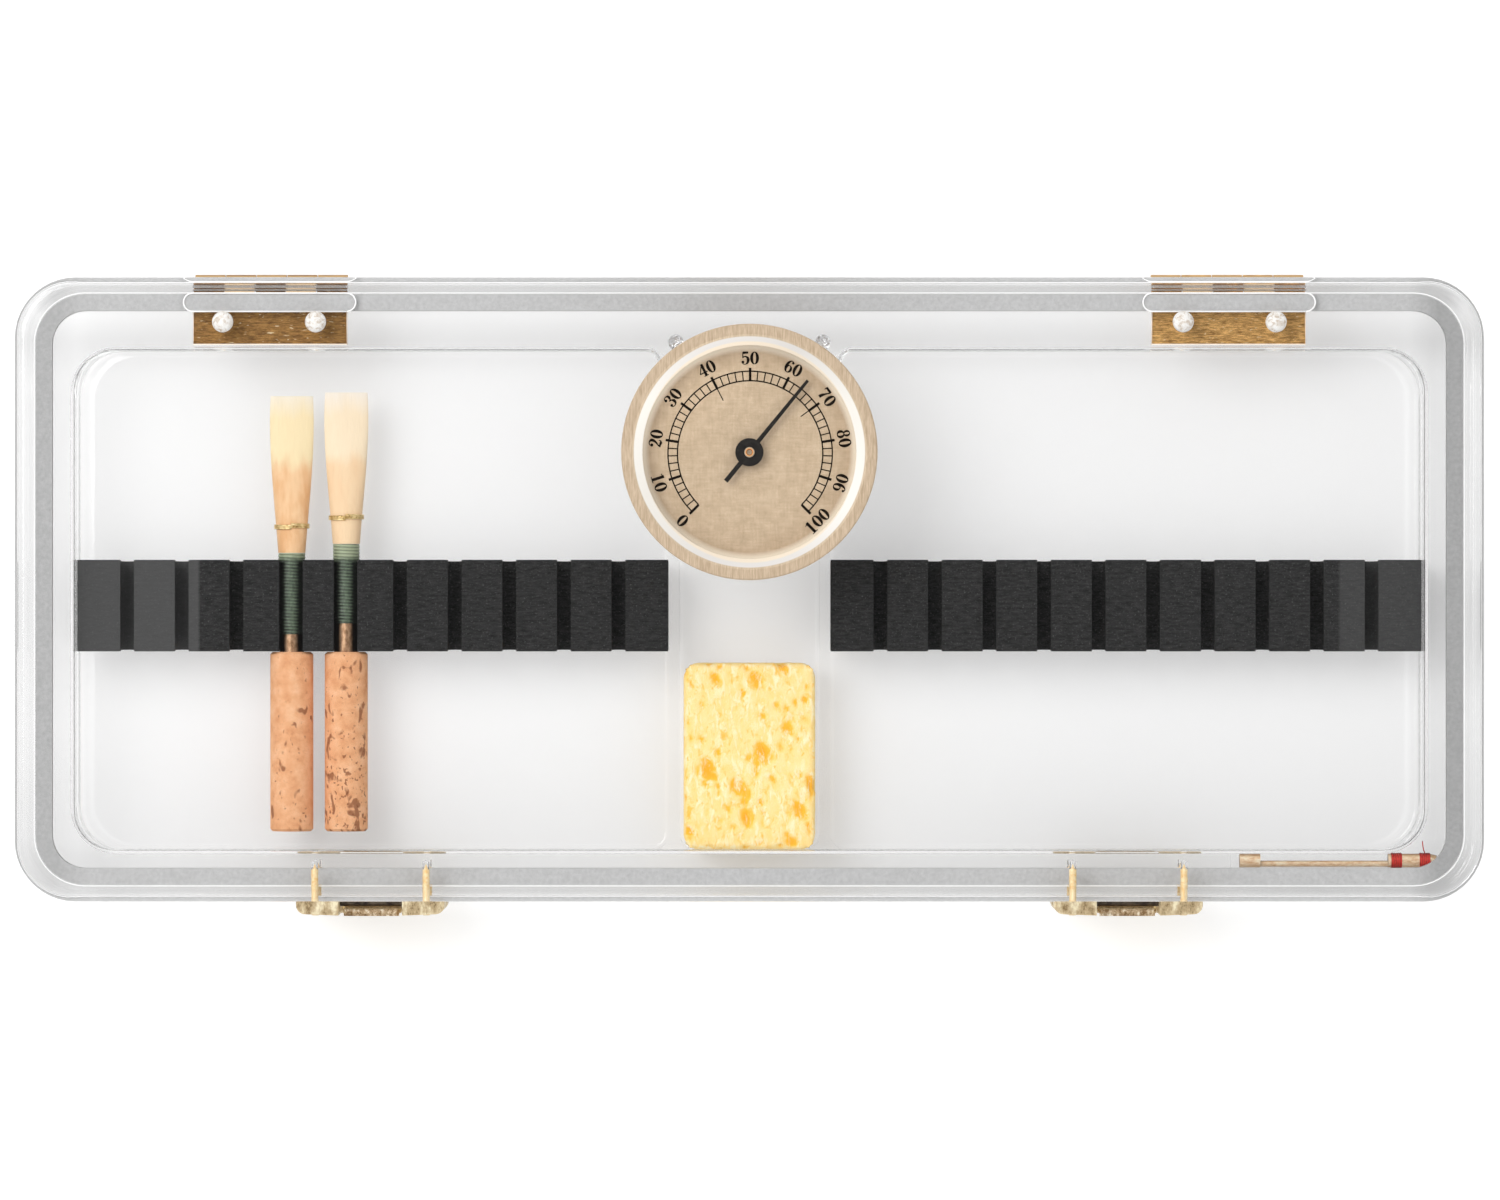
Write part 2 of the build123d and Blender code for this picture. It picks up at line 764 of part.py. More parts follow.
coil_outer_radius = coil_inner_radius + coil_turns * coil_pitch
with BuildPart() as bridge:
    with BuildSketch(along_y(gauge_y)):
        with Locations((0, bridge_z)):
            Rectangle(
                bridge_span,
                dial_z - dial_thickness - bridge_z,
                align=(Align.CENTER, Align.MIN),
            )
        with Locations((0, bridge_z + bridge_thickness)):
            Rectangle(
                bridge_span - 2 * bridge_thickness,
                dial_z - bridge_z,
                align=(Align.CENTER, Align.MIN),
                mode=Mode.SUBTRACT,
            )
    extrude(amount=bridge_width / 2, both=True)
    with BuildSketch(Plane.XY.offset(bridge_z)):
        with Locations((coil_outer_radius + coil_strip / 2 + stud_radius, gauge_y)):
            Circle(stud_radius)
    extrude(amount=coil_z + coil_height - bridge_z)
    with BuildSketch(Plane.XY.offset(bridge_z)):
        with Locations((0, gauge_y)):
            Circle(arbor_pivot_radius + fit_gap)
    extrude(amount=bridge_thickness, mode=Mode.SUBTRACT)
save(bridge.part, "hygrometer_bridge")

# Sensing coil: half turns about two centres, each half a pitch wider than the last
with BuildPart() as coil:
    with BuildSketch(Plane.XY.offset(coil_z)):
        with Locations((0, gauge_y)):
            with BuildLine() as spiral:
                centre = 0
                radius = coil_inner_radius
                for half_turn in range(2 * coil_turns):
                    facing = 1 if half_turn % 2 == 0 else -1
                    start = centre + facing * radius
                    end = centre - facing * radius
                    middle = (centre, facing * radius)
                    ThreePointArc((start, 0), middle, (end, 0))
                    centre = centre + facing * coil_pitch / 2
                    radius = radius + coil_pitch / 2
            trace(spiral.line.moved(Location((0, gauge_y))), line_width=coil_strip)
    extrude(amount=coil_height)
save(coil.part, "hygrometer_coil")

# Pointer and its arbor turn together
pointer_turn = math.radians((pointer_reading / scale_full - 0.5) * scale_span)
pointing = (math.sin(pointer_turn), math.cos(pointer_turn), 0)
with BuildPart() as pointer:
    with BuildSketch(Plane((0, gauge_y, pointer_z), x_dir=pointing, z_dir=(0, 0, 1))):
        Circle(hub_radius)
    extrude(amount=hub_thickness)
    with BuildSketch(Plane((0, gauge_y, pointer_z), x_dir=pointing, z_dir=(0, 0, 1))):
        with BuildLine():
            Polyline(
                (-pointer_tail, -pointer_root_width / 2),
                (0, -pointer_root_width / 2),
                (pointer_length, -pointer_tip_width / 2),
                (pointer_length, pointer_tip_width / 2),
                (0, pointer_root_width / 2),
                (-pointer_tail, pointer_root_width / 2),
                close=True,
            )
        make_face()
    extrude(amount=pointer_thickness)
    with BuildSketch(Plane.XY.offset(pointer_z)):
        with Locations((0, gauge_y)):
            Circle(arbor_radius + fit_gap)
    extrude(amount=hub_thickness, mode=Mode.SUBTRACT)
save(pointer.part, "hygrometer_pointer")

arbor_top = pointer_z + hub_thickness + arbor_rise
with BuildPart() as arbor:
    with BuildSketch(along_y(gauge_y)):
        with BuildLine():
            Polyline(
                (0, bridge_z),
                (arbor_pivot_radius, bridge_z),
                (arbor_pivot_radius, bridge_z + bridge_thickness + fit_gap),
                (arbor_radius, bridge_z + bridge_thickness + fit_gap),
                (arbor_radius, arbor_top),
                (arbor_radius - arbor_dimple, arbor_top),
                (arbor_radius - arbor_dimple, arbor_top - arbor_dimple),
                (0, arbor_top - arbor_dimple),
                close=True,
            )
        make_face()
    revolve(axis=gauge_axis)
save(arbor.part, "hygrometer_arbor")

with BuildPart() as set_screws:
    with BuildSketch(Plane.XY.offset(parting + set_screw_sink)):
        with Locations((0, gauge_y + set_screw_y)):
            with GridLocations(2 * set_screw_x, 0, 2, 1):
                Circle(set_screw_radius)
    extrude(amount=set_screw_length)
    with BuildSketch(Plane.XY.offset(parting + set_screw_sink)):
        with Locations((0, gauge_y + set_screw_y)):
            with GridLocations(2 * set_screw_x, 0, 2, 1):
                RegularPolygon(hex_socket_width / 2, 6, major_radius=False)
    extrude(amount=hex_socket_depth, mode=Mode.SUBTRACT)
save(set_screws.part, "hygrometer_set_screws")


def reed_slot(width, eye_radius):
    """Section of a slot: a narrow mouth over a round eye that the tube snaps into."""
    Circle(eye_radius)
    Rectangle(width, bar_height, align=(Align.CENTER, Align.MIN))


# Reed bars, soft black rubber
for side, sign in sides:
    with BuildPart() as bar:
        with BuildSketch(along_x(sign * bay_x)):
            with BuildLine():
                Polyline(
                    (bar_y - bar_foot_depth / 2, floor_thickness),
                    (bar_y + bar_foot_depth / 2, floor_thickness),
                    (bar_y + bar_depth / 2, bar_top),
                    (bar_y - bar_depth / 2, bar_top),
                    close=True,
                )
            make_face()
        extrude(amount=bar_length / 2, both=True)
        foot = bar.faces().sort_by(Axis.Z)[0]
        chamfer(foot.edges().filter_by(Axis.Y), bar_foot_chamfer)
        opened = reed_slots if sign < 0 else ()
        for number in range(slot_count):
            x = sign * bay_x + (number - (slot_count - 1) / 2) * slot_pitch
            with BuildSketch(along_y(bar_y)):
                with Locations((x, eye_z)):
                    if number in opened:
                        reed_slot(reed_slot_width, reed_eye_radius)
                    else:
                        reed_slot(slot_width, slot_eye_radius)
            extrude(amount=bar_depth, both=True, mode=Mode.SUBTRACT)
    save(bar.part, "reed_bar_" + side)

# Sponge at the front of the centre bay
with BuildPart() as sponge:
    with BuildSketch(Plane.XY.offset(floor_thickness)):
        with Locations((0, pocket_front + sponge_gap + sponge_length / 2)):
            RectangleRounded(sponge_width, sponge_length, sponge_corner)
    extrude(amount=sponge_height)
    fillet(sponge.faces().filter_by(Axis.Z).edges(), sponge_edge)
save(sponge.part, "sponge")


def reed(name, slot, bare, thread_length, cane_length, wire_rise):
    """One reed, as cork, staple, thread, cane and wire, lying in a slot of the left bar."""
    x = -bay_x + (slot - (slot_count - 1) / 2) * slot_pitch
    foot_y = bar_front - cork_gap - cork_length
    reed_axis = Axis((x, 0, eye_z), (0, 1, 0))
    lengthwise = Plane((x, foot_y, eye_z), x_dir=(0, 1, 0), z_dir=(1, 0, 0))
    thread_start = cork_length + bare
    cane_start = thread_start + thread_length
    staple_length = cane_start
    staple_tip_radius = staple_foot_radius - staple_taper * staple_length

    with BuildPart() as staple:
        with BuildSketch(lengthwise):
            with BuildLine():
                Polyline(
                    (0, staple_foot_radius),
                    (staple_length, staple_tip_radius),
                    (staple_length, staple_tip_radius - staple_wall),
                    (0, staple_foot_radius - staple_wall),
                    close=True,
                )
            make_face()
        revolve(axis=reed_axis)
    save(staple.part, name + "_staple")

    cork_bore_end = staple_foot_radius - staple_taper * cork_length + fit_gap
    with BuildPart() as cork:
        with BuildSketch(lengthwise):
            with BuildLine():
                Polyline(
                    (0, staple_foot_radius + fit_gap),
                    (0, cork_radius - cork_edge),
                    (cork_edge, cork_radius),
                    (cork_length - cork_edge, cork_radius),
                    (cork_length, cork_radius - cork_edge),
                    (cork_length, cork_bore_end),
                    close=True,
                )
            make_face()
        revolve(axis=reed_axis)
    save(cork.part, name + "_cork")

    thread_bore = staple_foot_radius - staple_taper * thread_start + fit_gap
    with BuildPart() as thread:
        with BuildSketch(lengthwise):
            with BuildLine():
                Polyline(
                    (thread_start, thread_bore),
                    (thread_start, thread_bore + thread_end_wall),
                    (thread_start + thread_end_length, thread_bore + thread_wall),
                    (cane_start, thread_bore + thread_wall),
                    (cane_start, staple_tip_radius + fit_gap),
                    close=True,
                )
            make_face()
        revolve(axis=reed_axis)
    save(thread.part, name + "_thread")

    def across(reach):
        return Plane((x, foot_y + cane_start + fit_gap + reach, eye_z), x_dir=(1, 0, 0), z_dir=(0, 1, 0))

    stations = (
        (0, cane_root_width, cane_root_depth, cane_wall),
        (wire_rise, cane_wire_width, cane_wire_depth, cane_wall),
        (cane_back_share * cane_length, cane_back_width, cane_back_depth, cane_wall),
        (cane_length, cane_tip_width, cane_tip_depth, cane_tip_wall),
    )
    with BuildPart() as cane:
        for reach, width, depth, wall in stations:
            with BuildSketch(across(reach)):
                Ellipse(width / 2, depth / 2)
        loft()
        for reach, width, depth, wall in stations:
            with BuildSketch(across(reach)):
                Ellipse(width / 2 - wall, depth / 2 - wall)
        loft(ruled=True, mode=Mode.SUBTRACT)
    save(cane.part, name + "_cane")

    with BuildPart() as wire:
        for number in range(wire_turns):
            reach = wire_rise + (2 * number - wire_turns) * wire_radius
            with BuildSketch(across(reach)):
                Ellipse(
                    cane_wire_width / 2 + 2 * wire_radius + fit_gap,
                    cane_wire_depth / 2 + 2 * wire_radius + fit_gap,
                )
                Ellipse(
                    cane_wire_width / 2 + fit_gap,
                    cane_wire_depth / 2 + fit_gap,
                    mode=Mode.SUBTRACT,
                )
            extrude(amount=2 * wire_radius)
    save(wire.part, name + "_wire")


reed("reed_1", reed_slots[0], reed_1_bare, reed_1_thread, reed_1_cane, reed_1_wire)
reed("reed_2", reed_slots[1], reed_2_bare, reed_2_thread, reed_2_cane, reed_2_wire)

# Small brass tool: knob, off-centre rod, barrel and tip, with two bands of thread
barrel_start = tool_knob_length + tool_rod_length
tip_start = barrel_start + tool_barrel_length
tool_plane = Plane((tool_x, tool_y, tool_z), x_dir=(1, 0, 0), z_dir=(0, -1, 0))
tool_axis = Axis((0, tool_y, tool_z), (1, 0, 0))
with BuildPart() as tool:
    with BuildSketch(tool_plane):
        Rectangle(tool_knob_length, tool_barrel_radius, align=(Align.MIN, Align.MIN))
        with BuildLine():
            Polyline(
                (barrel_start, 0),
                (barrel_start, tool_barrel_radius),
                (tip_start, tool_barrel_radius),
                (tip_start + tool_tip_length, tool_tip_radius),
                (tip_start + tool_tip_length, 0),
                close=True,
            )
        make_face()
    revolve(axis=tool_axis)
    with BuildSketch(along_x(tool_x + tool_knob_length / 2)):
        with Locations((tool_y - tool_rod_offset, tool_z)):
            Circle(tool_rod_radius)
    extrude(amount=tool_rod_length + tool_knob_length / 2 + tool_collar_length)
save(tool.part, "tool_body")

with BuildPart() as binding:
    for start in (barrel_start + tool_collar_length, tip_start - tool_binding_length):
        with BuildSketch(along_x(tool_x + start)):
            with Locations((tool_y, tool_z)):
                Circle(tool_binding_radius)
                Circle(tool_barrel_radius + fit_gap, mode=Mode.SUBTRACT)
        extrude(amount=tool_binding_length)
save(binding.part, "tool_binding")
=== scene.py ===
import math

import bmesh
import bpy
from mathutils import Matrix, Vector, noise


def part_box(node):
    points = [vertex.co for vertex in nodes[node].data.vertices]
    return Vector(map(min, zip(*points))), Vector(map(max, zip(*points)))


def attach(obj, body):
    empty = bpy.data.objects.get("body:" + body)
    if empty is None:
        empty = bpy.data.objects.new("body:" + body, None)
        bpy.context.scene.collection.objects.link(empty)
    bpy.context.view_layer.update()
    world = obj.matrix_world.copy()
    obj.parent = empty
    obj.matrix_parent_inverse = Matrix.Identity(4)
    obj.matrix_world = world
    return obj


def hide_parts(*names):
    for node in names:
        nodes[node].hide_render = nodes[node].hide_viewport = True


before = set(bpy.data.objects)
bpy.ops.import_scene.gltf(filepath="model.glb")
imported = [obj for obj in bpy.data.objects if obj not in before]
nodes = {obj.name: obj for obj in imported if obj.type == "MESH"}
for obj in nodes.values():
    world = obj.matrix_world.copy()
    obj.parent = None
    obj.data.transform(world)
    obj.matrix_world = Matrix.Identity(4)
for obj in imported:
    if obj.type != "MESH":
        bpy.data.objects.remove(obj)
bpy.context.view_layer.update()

# Sizes and places are in millimetres, in the frame's own axes
MM = 0.001
HAIR_GAP = 0.02                # keeps a piece off the face behind it

# Photograph: 1500 by 1200 pixels, looking straight down
IMAGE_WIDTH = 1500
SENSOR = 36.0
PARTING_Z = 13.0
PARTING_SCALE = 6.075          # pixels to the millimetre at the parting plane
CAMERA_HEIGHT = 1300.0         # above the parting plane
CAMERA_X = 0.1
CAMERA_Y = -1.73
VIEW_END = 20000.0

# Floor: it glows a little, and through the case its painted glow fades toward the walls, as painted shade
FLOOR_SIZE = 4000.0
FLOOR_DROP = 0.4               # below the case's underside
FLOOR_GLOW = 0.34
FLOOR_REACH_X = 111.0
FLOOR_REACH_Y = 54.0
# Painted light: through the case, the floor is brighter toward its left end
FLOOR_TILT = 0.08              # how much brighter its left end is
# Painted light and shade: brightness of the floor through the case, at shares of the way from front to back
FLOOR_LEVELS = (
    (0.0, 0.25), (0.03, 0.08), (0.08, 0.19), (0.12, 0.31), (0.3, 0.43),
    (0.83, 0.42), (0.88, 0.32), (0.92, 0.41), (0.955, 0.06), (1.0, 0.25),
)
# Start, end and brightness of the painted shade that the left and the right rim add
FLOOR_RIMS = ((-111.0, -115.0, -0.16), (109.0, 113.0, -0.14))

# World: brightness from the horizon, 0, to overhead, 1, which is dark as behind a camera
SKY_LEVELS = ((0.0, 0.62), (0.25, 0.95), (0.7, 1.1), (0.9, 1.0), (0.965, 0.55), (0.985, 0.1), (1.0, 0.08))
SKY_STRENGTH = 0.92
LAMP_POWER = 10.0
LAMP_SIZE = 900.0
LAMP_PLACE = (-800.0, 500.0, 1300.0)

# Glass: a ray is trapped after this many reflections, and shows this color as a painted grey glow
TRAPPED_REFLECTIONS = 3
TRAPPED_COLOR = (0.7, 0.71, 0.71)

# Seal and bars: the seal has painted shade at its ends, and the bars are paler beyond two places
SEAL_SHADE_START = 108.0
SEAL_SHADE_END = 113.0
BAR_PALE_LEFT = -91.0
BAR_PALE_RIGHT = 97.5
BAR_PALE_FADE = 0.5

# Hinges and catches
KNUCKLE_PITCH = 5.04
KNUCKLE_PHASE = -13.095        # in knuckles; the alternation starts at the leaf's end
# Hinges: the backs of the leaves carry a painted image of the knuckles seen through the lid's round edge, the
# dark ones painted shade in the gaps
KNUCKLE_BAND = (48.6, 49.3)    # from front to back, where the knuckles show through the lid's edge
OUTER_BAND = 50.95
BAND_FADE = 0.1
BAND_END_FADE = 0.15
BARREL_FRONT = 49.0
# The strap's top between a catch's wings is painted in shadow
CATCH_RECESS = 5.3             # half the width between a catch's wings

# Dial and bezel, with distances from the arbor
DIAL_RIM = 17.1                # the dial is lit up to its rim
DIAL_RIM_FADE = 0.8
DIAL_FILL = 0.2                # light put back into the bezel's shadow
DIAL_GLOW = 0.02
RING_FILL = 0.2
SHADE_START = 0.55             # of the radius, toward the back left
BEZEL_INNER = 17.3
BEZEL_OUTER = 19.25
# The bevel is painted as a white ring, a painted reflection, between these distances, with a painted lit
# cream band inside
RING_INNER = 17.4
RING_OUTER = 18.85
RING_NARROWING = 0.6           # at its top and bottom
INNER_FADE = 0.12
OUTER_FADE = 0.08
ARC_RADII = (13.4, 11.85)
TICK_TOP = 13.95
NUMERAL_RADIUS = 15.55
NUMERAL_HEIGHT = 2.15
NUMERAL_STRETCH = 1.12         # width over height
NUMERAL_ADVANCE = 1.5
PRINT_OFFSET = (0.12, -0.16)   # the printed scale sits a little off the arbor
SCALE_DEGREES = 2.7
SCALE_MIDDLE = 50
SCALE_END = 100
ARC_STEPS = 120
BAND_MARKS = ((40, 9.65), (70, 10.2))
ARC_WIDTH = 0.22
TICK_WIDTH = 0.19
LONG_TICK_WIDTH = 0.42
MARK_WIDTH = 0.17
HAIR = 0.07                    # width of a numeral's thin strokes, in numeral heights
STEM = 0.2

# Reeds, each with its own colors, brown stains and dark marks
REED_BARK = {1: (0.95, 0.63, 0.36), 2: (0.97, 0.72, 0.46)}
REED_BLADE = {1: (1.0, 0.83, 0.52), 2: (1.0, 0.83, 0.6)}
REED_STAIN = {1: 0.75, 2: 0.2}
CORK_MARKS = {1: 0.02, 2: 0.13}
SLOT_FADE = (-0.6, 0.3)        # round a slot's end
THREAD_FADE = (-0.2, 0.8)
THREAD_PITCH = 0.54
THREAD_DEPTH = 0.16
TAPER_DEPTH = 0.12
TAPER_SHARE = 0.12             # of the winding's length
ROWS_A_TURN = 7
WIRE_TURNS = 3
WIRE_STEPS = 48                # to the turn
WIRE_START = 0.2               # in pitches, as the advance of each turn is
WIRE_ADVANCE = 0.8
WIRE_FILL = 0.92               # wire thickness over its pitch
TWIST_STEPS = 8
TWIST_LENGTH = 1.1
TWIST_BEND = 0.25

# Small tool
BINDING_WIDTH = 1.75
BINDING_PITCH = 0.35
BINDING_DEPTH = 0.12
THREAD_END_STEPS = 16
THREAD_END_LENGTH = 1.9
THREAD_END_LIFT = 0.3
THREAD_END_DRIFT = (-0.9, 0.5)
THREAD_END_WAVE = 0.5
THREAD_END_BEND = 3.0          # radians of the wave
THREAD_END_RADIUS = 0.09

# Sponge
SPONGE_SEED = 1                       # noise vectors are drawn by the clock where no seed is set
SPONGE_STEP = 0.42
SPONGE_CORNER = 2.8
SPONGE_EDGE = 1.3
PORE_BEND = 0.7
PORE_BEND_SCALE = 0.35
PORE_SLANT = 0.35
PORE_STRETCH = 0.72
PORE_WALLS = 0.6                      # power that makes the walls steep
CELL_SPREAD = 3.1                     # sets the draws of neighbouring cells apart
LARGE_PORES = (0.24, 0.36, -0.05)     # cells to the millimetre, radius in cells, rarity
SMALL_PORES = (0.55, 0.36, -0.15)
SMALL_PORE_DEPTH = 0.6                # of a large one's
CORNER_HOLLOW = 0.25                  # pores stay shallow at the upright corners
PORE_DEPTH = 0.8
SKIN_INSET = 0.1
SKIN_RAGGEDNESS = 0.07
SKIN_STRETCH = 0.7
SKIN_FRACTAL = (0.7, 2.1, 3)          # smoothness, step between octaves, octaves
# Painted shade in the pores: how much the color deepens evenly, with a pore's depth, and less on the raised
# skin
TINT_EVEN = 0.12
TINT_OF_PORES = 1.1
TINT_OF_SKIN = 0.2

# Frosted ends of the blind holes over the hinge screws in the lid
BORE_OFFSET = 7.6              # from the leaf's middle
BORE_RADIUS = 1.75
BORE_DOME = 1.2
DOME_SIDES = 24
DOME_RINGS = 8

# Bright outlines in the lid, glowing lines as painted highlights where the seal's pads and the hinge leaves
# are let in
PAD_LENGTH = 28.2
PAD_WIDTH = 3.0
PAD_Y = 47.05
LEAF_TOP = 14.0
SEAL_TOP = 15.3
SEAL_CORNER = 8.3
OUTLINE_LIFT = 0.2
LOOP_GAP = 0.05                # where an outline ends beside its start
GROOVE_LINE = 0.09
PAD_LINE = 0.13
SEAT_LINE = 0.1

# Nails: rough shanks, a touch proud of their holes so that the acrylic wets them
NAIL_SPACING = 18.2
NAIL_SWELL = 0.09
NAIL_ROUGHNESS = 0.05
NAIL_RIPPLES = 14              # along a nail
NAIL_RIPPLES_ACROSS = 1.5
NAIL_APART = 9                 # sets the ripples of one nail apart from the next one's
NAIL_POINT = 0.1               # of the length
NAIL_TIP = 0.15                # of the radius
NAIL_SIDES = 16
NAIL_ROWS = 40


def collection_link(obj):
    bpy.context.scene.collection.objects.link(obj)
    return obj


def mesh_object(name, verts, faces, smooth=True):
    """A mesh piece from millimetre vertices."""
    mesh = bpy.data.meshes.new(name)
    mesh.from_pydata([(x * MM, y * MM, z * MM) for x, y, z in verts], [], faces)
    mesh.update()
    for polygon in mesh.polygons:
        polygon.use_smooth = smooth
    return collection_link(bpy.data.objects.new(name, mesh))


def dress(piece, body, material, replaces=()):
    """Put a piece on its body with its material."""
    piece.data.materials.clear()
    piece.data.materials.append(material)
    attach(piece, body)
    if replaces:
        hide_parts(*replaces)


def box_mm(node):
    low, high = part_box(node)
    return low / MM, high / MM


def turns(sides):
    """Angles of the places round a circle."""
    return [2 * math.pi * side / sides for side in range(sides)]


def sleeve(rings, sides):
    """Quads between rings of vertices that follow each other."""
    faces = []
    for ring in range(rings - 1):
        for side in range(sides):
            a = ring * sides + side
            b = ring * sides + (side + 1) % sides
            faces.append((a, b, b + sides, a + sides))
    return faces


def closed_sleeve(rings, sides):
    """A sleeve with a face at each end."""
    last = (rings - 1) * sides
    ends = [tuple(reversed(range(sides))), tuple(last + side for side in range(sides))]
    return sleeve(rings, sides) + ends


def joined(parts):
    """The vertices and faces of several parts as one."""
    verts, faces = [], []
    for part_verts, part_faces in parts:
        start = len(verts)
        verts += part_verts
        faces += [tuple(start + corner for corner in face) for face in part_faces]
    return verts, faces


def tube(name, points, radius, sides=10):
    """A round wire along a list of points, with closed ends."""
    verts = []
    normal = Vector((0, 0, 1))
    for i, point in enumerate(points):
        ahead = points[min(i + 1, len(points) - 1)] - points[max(i - 1, 0)]
        ahead.normalize()
        normal = (normal - ahead * normal.dot(ahead)).normalized()
        side = ahead.cross(normal)
        for angle in turns(sides):
            verts.append(point + (normal * math.cos(angle) + side * math.sin(angle)) * radius)
    return mesh_object(name, verts, closed_sleeve(len(points), sides))


# Materials


class Nodes:
    """A node tree, and short ways to add to it."""

    def __init__(self, tree):
        self.tree = tree

    def node(self, kind, **values):
        """A new node; a value is a property or an input, whose name has "_" for each space."""
        made = self.tree.nodes.new(kind)
        for key, value in values.items():
            if hasattr(made, key):
                setattr(made, key, value)
            else:
                made.inputs[key.replace("_", " ")].default_value = value
        return made

    def link(self, source, socket):
        self.tree.links.new(source, socket)

    def plug(self, value, socket):
        """Link an output to a socket, or write a number or a color there."""
        if hasattr(value, "node"):
            self.link(value, socket)
        else:
            socket.default_value = (*value, 1.0) if isinstance(value, tuple) else value

    def ramp(self, source, stops):
        made = self.node("ShaderNodeValToRGB")
        elements = made.color_ramp.elements
        while len(elements) < len(stops):
            elements.new(0.5)
        for element, (place, color) in zip(elements, stops):
            element.position = place
            element.color = (*color, 1.0)
        self.link(source, made.inputs["Fac"])
        return made.outputs["Color"]

    def level(self, source, low, high, start=0.0, end=1.0):
        """A level that goes from low to high as the source goes from start to end."""
        made = self.node("ShaderNodeMapRange", From_Min=start, From_Max=end, To_Min=low, To_Max=high)
        self.link(source, made.inputs["Value"])
        return made.outputs["Result"]

    def mix(self, factor, one, two, mode="MIX"):
        """A blend of two colors, the second in full at factor 1."""
        made = self.node("ShaderNodeMix", data_type="RGBA", blend_type=mode)
        self.plug(factor, made.inputs[0])
        self.plug(one, made.inputs[6])
        self.plug(two, made.inputs[7])
        return made.outputs[2]

    def shade(self, color, level):
        """A color darkened by a level or by another color."""
        return self.mix(1.0, color, level, "MULTIPLY")

    def split(self, vector):
        made = self.node("ShaderNodeSeparateXYZ")
        self.link(vector, made.inputs[0])
        return made.outputs

    def math(self, operation, one, two=0.0):
        made = self.node("ShaderNodeMath", operation=operation)
        self.plug(one, made.inputs[0])
        self.plug(two, made.inputs[1])
        return made.outputs[0]


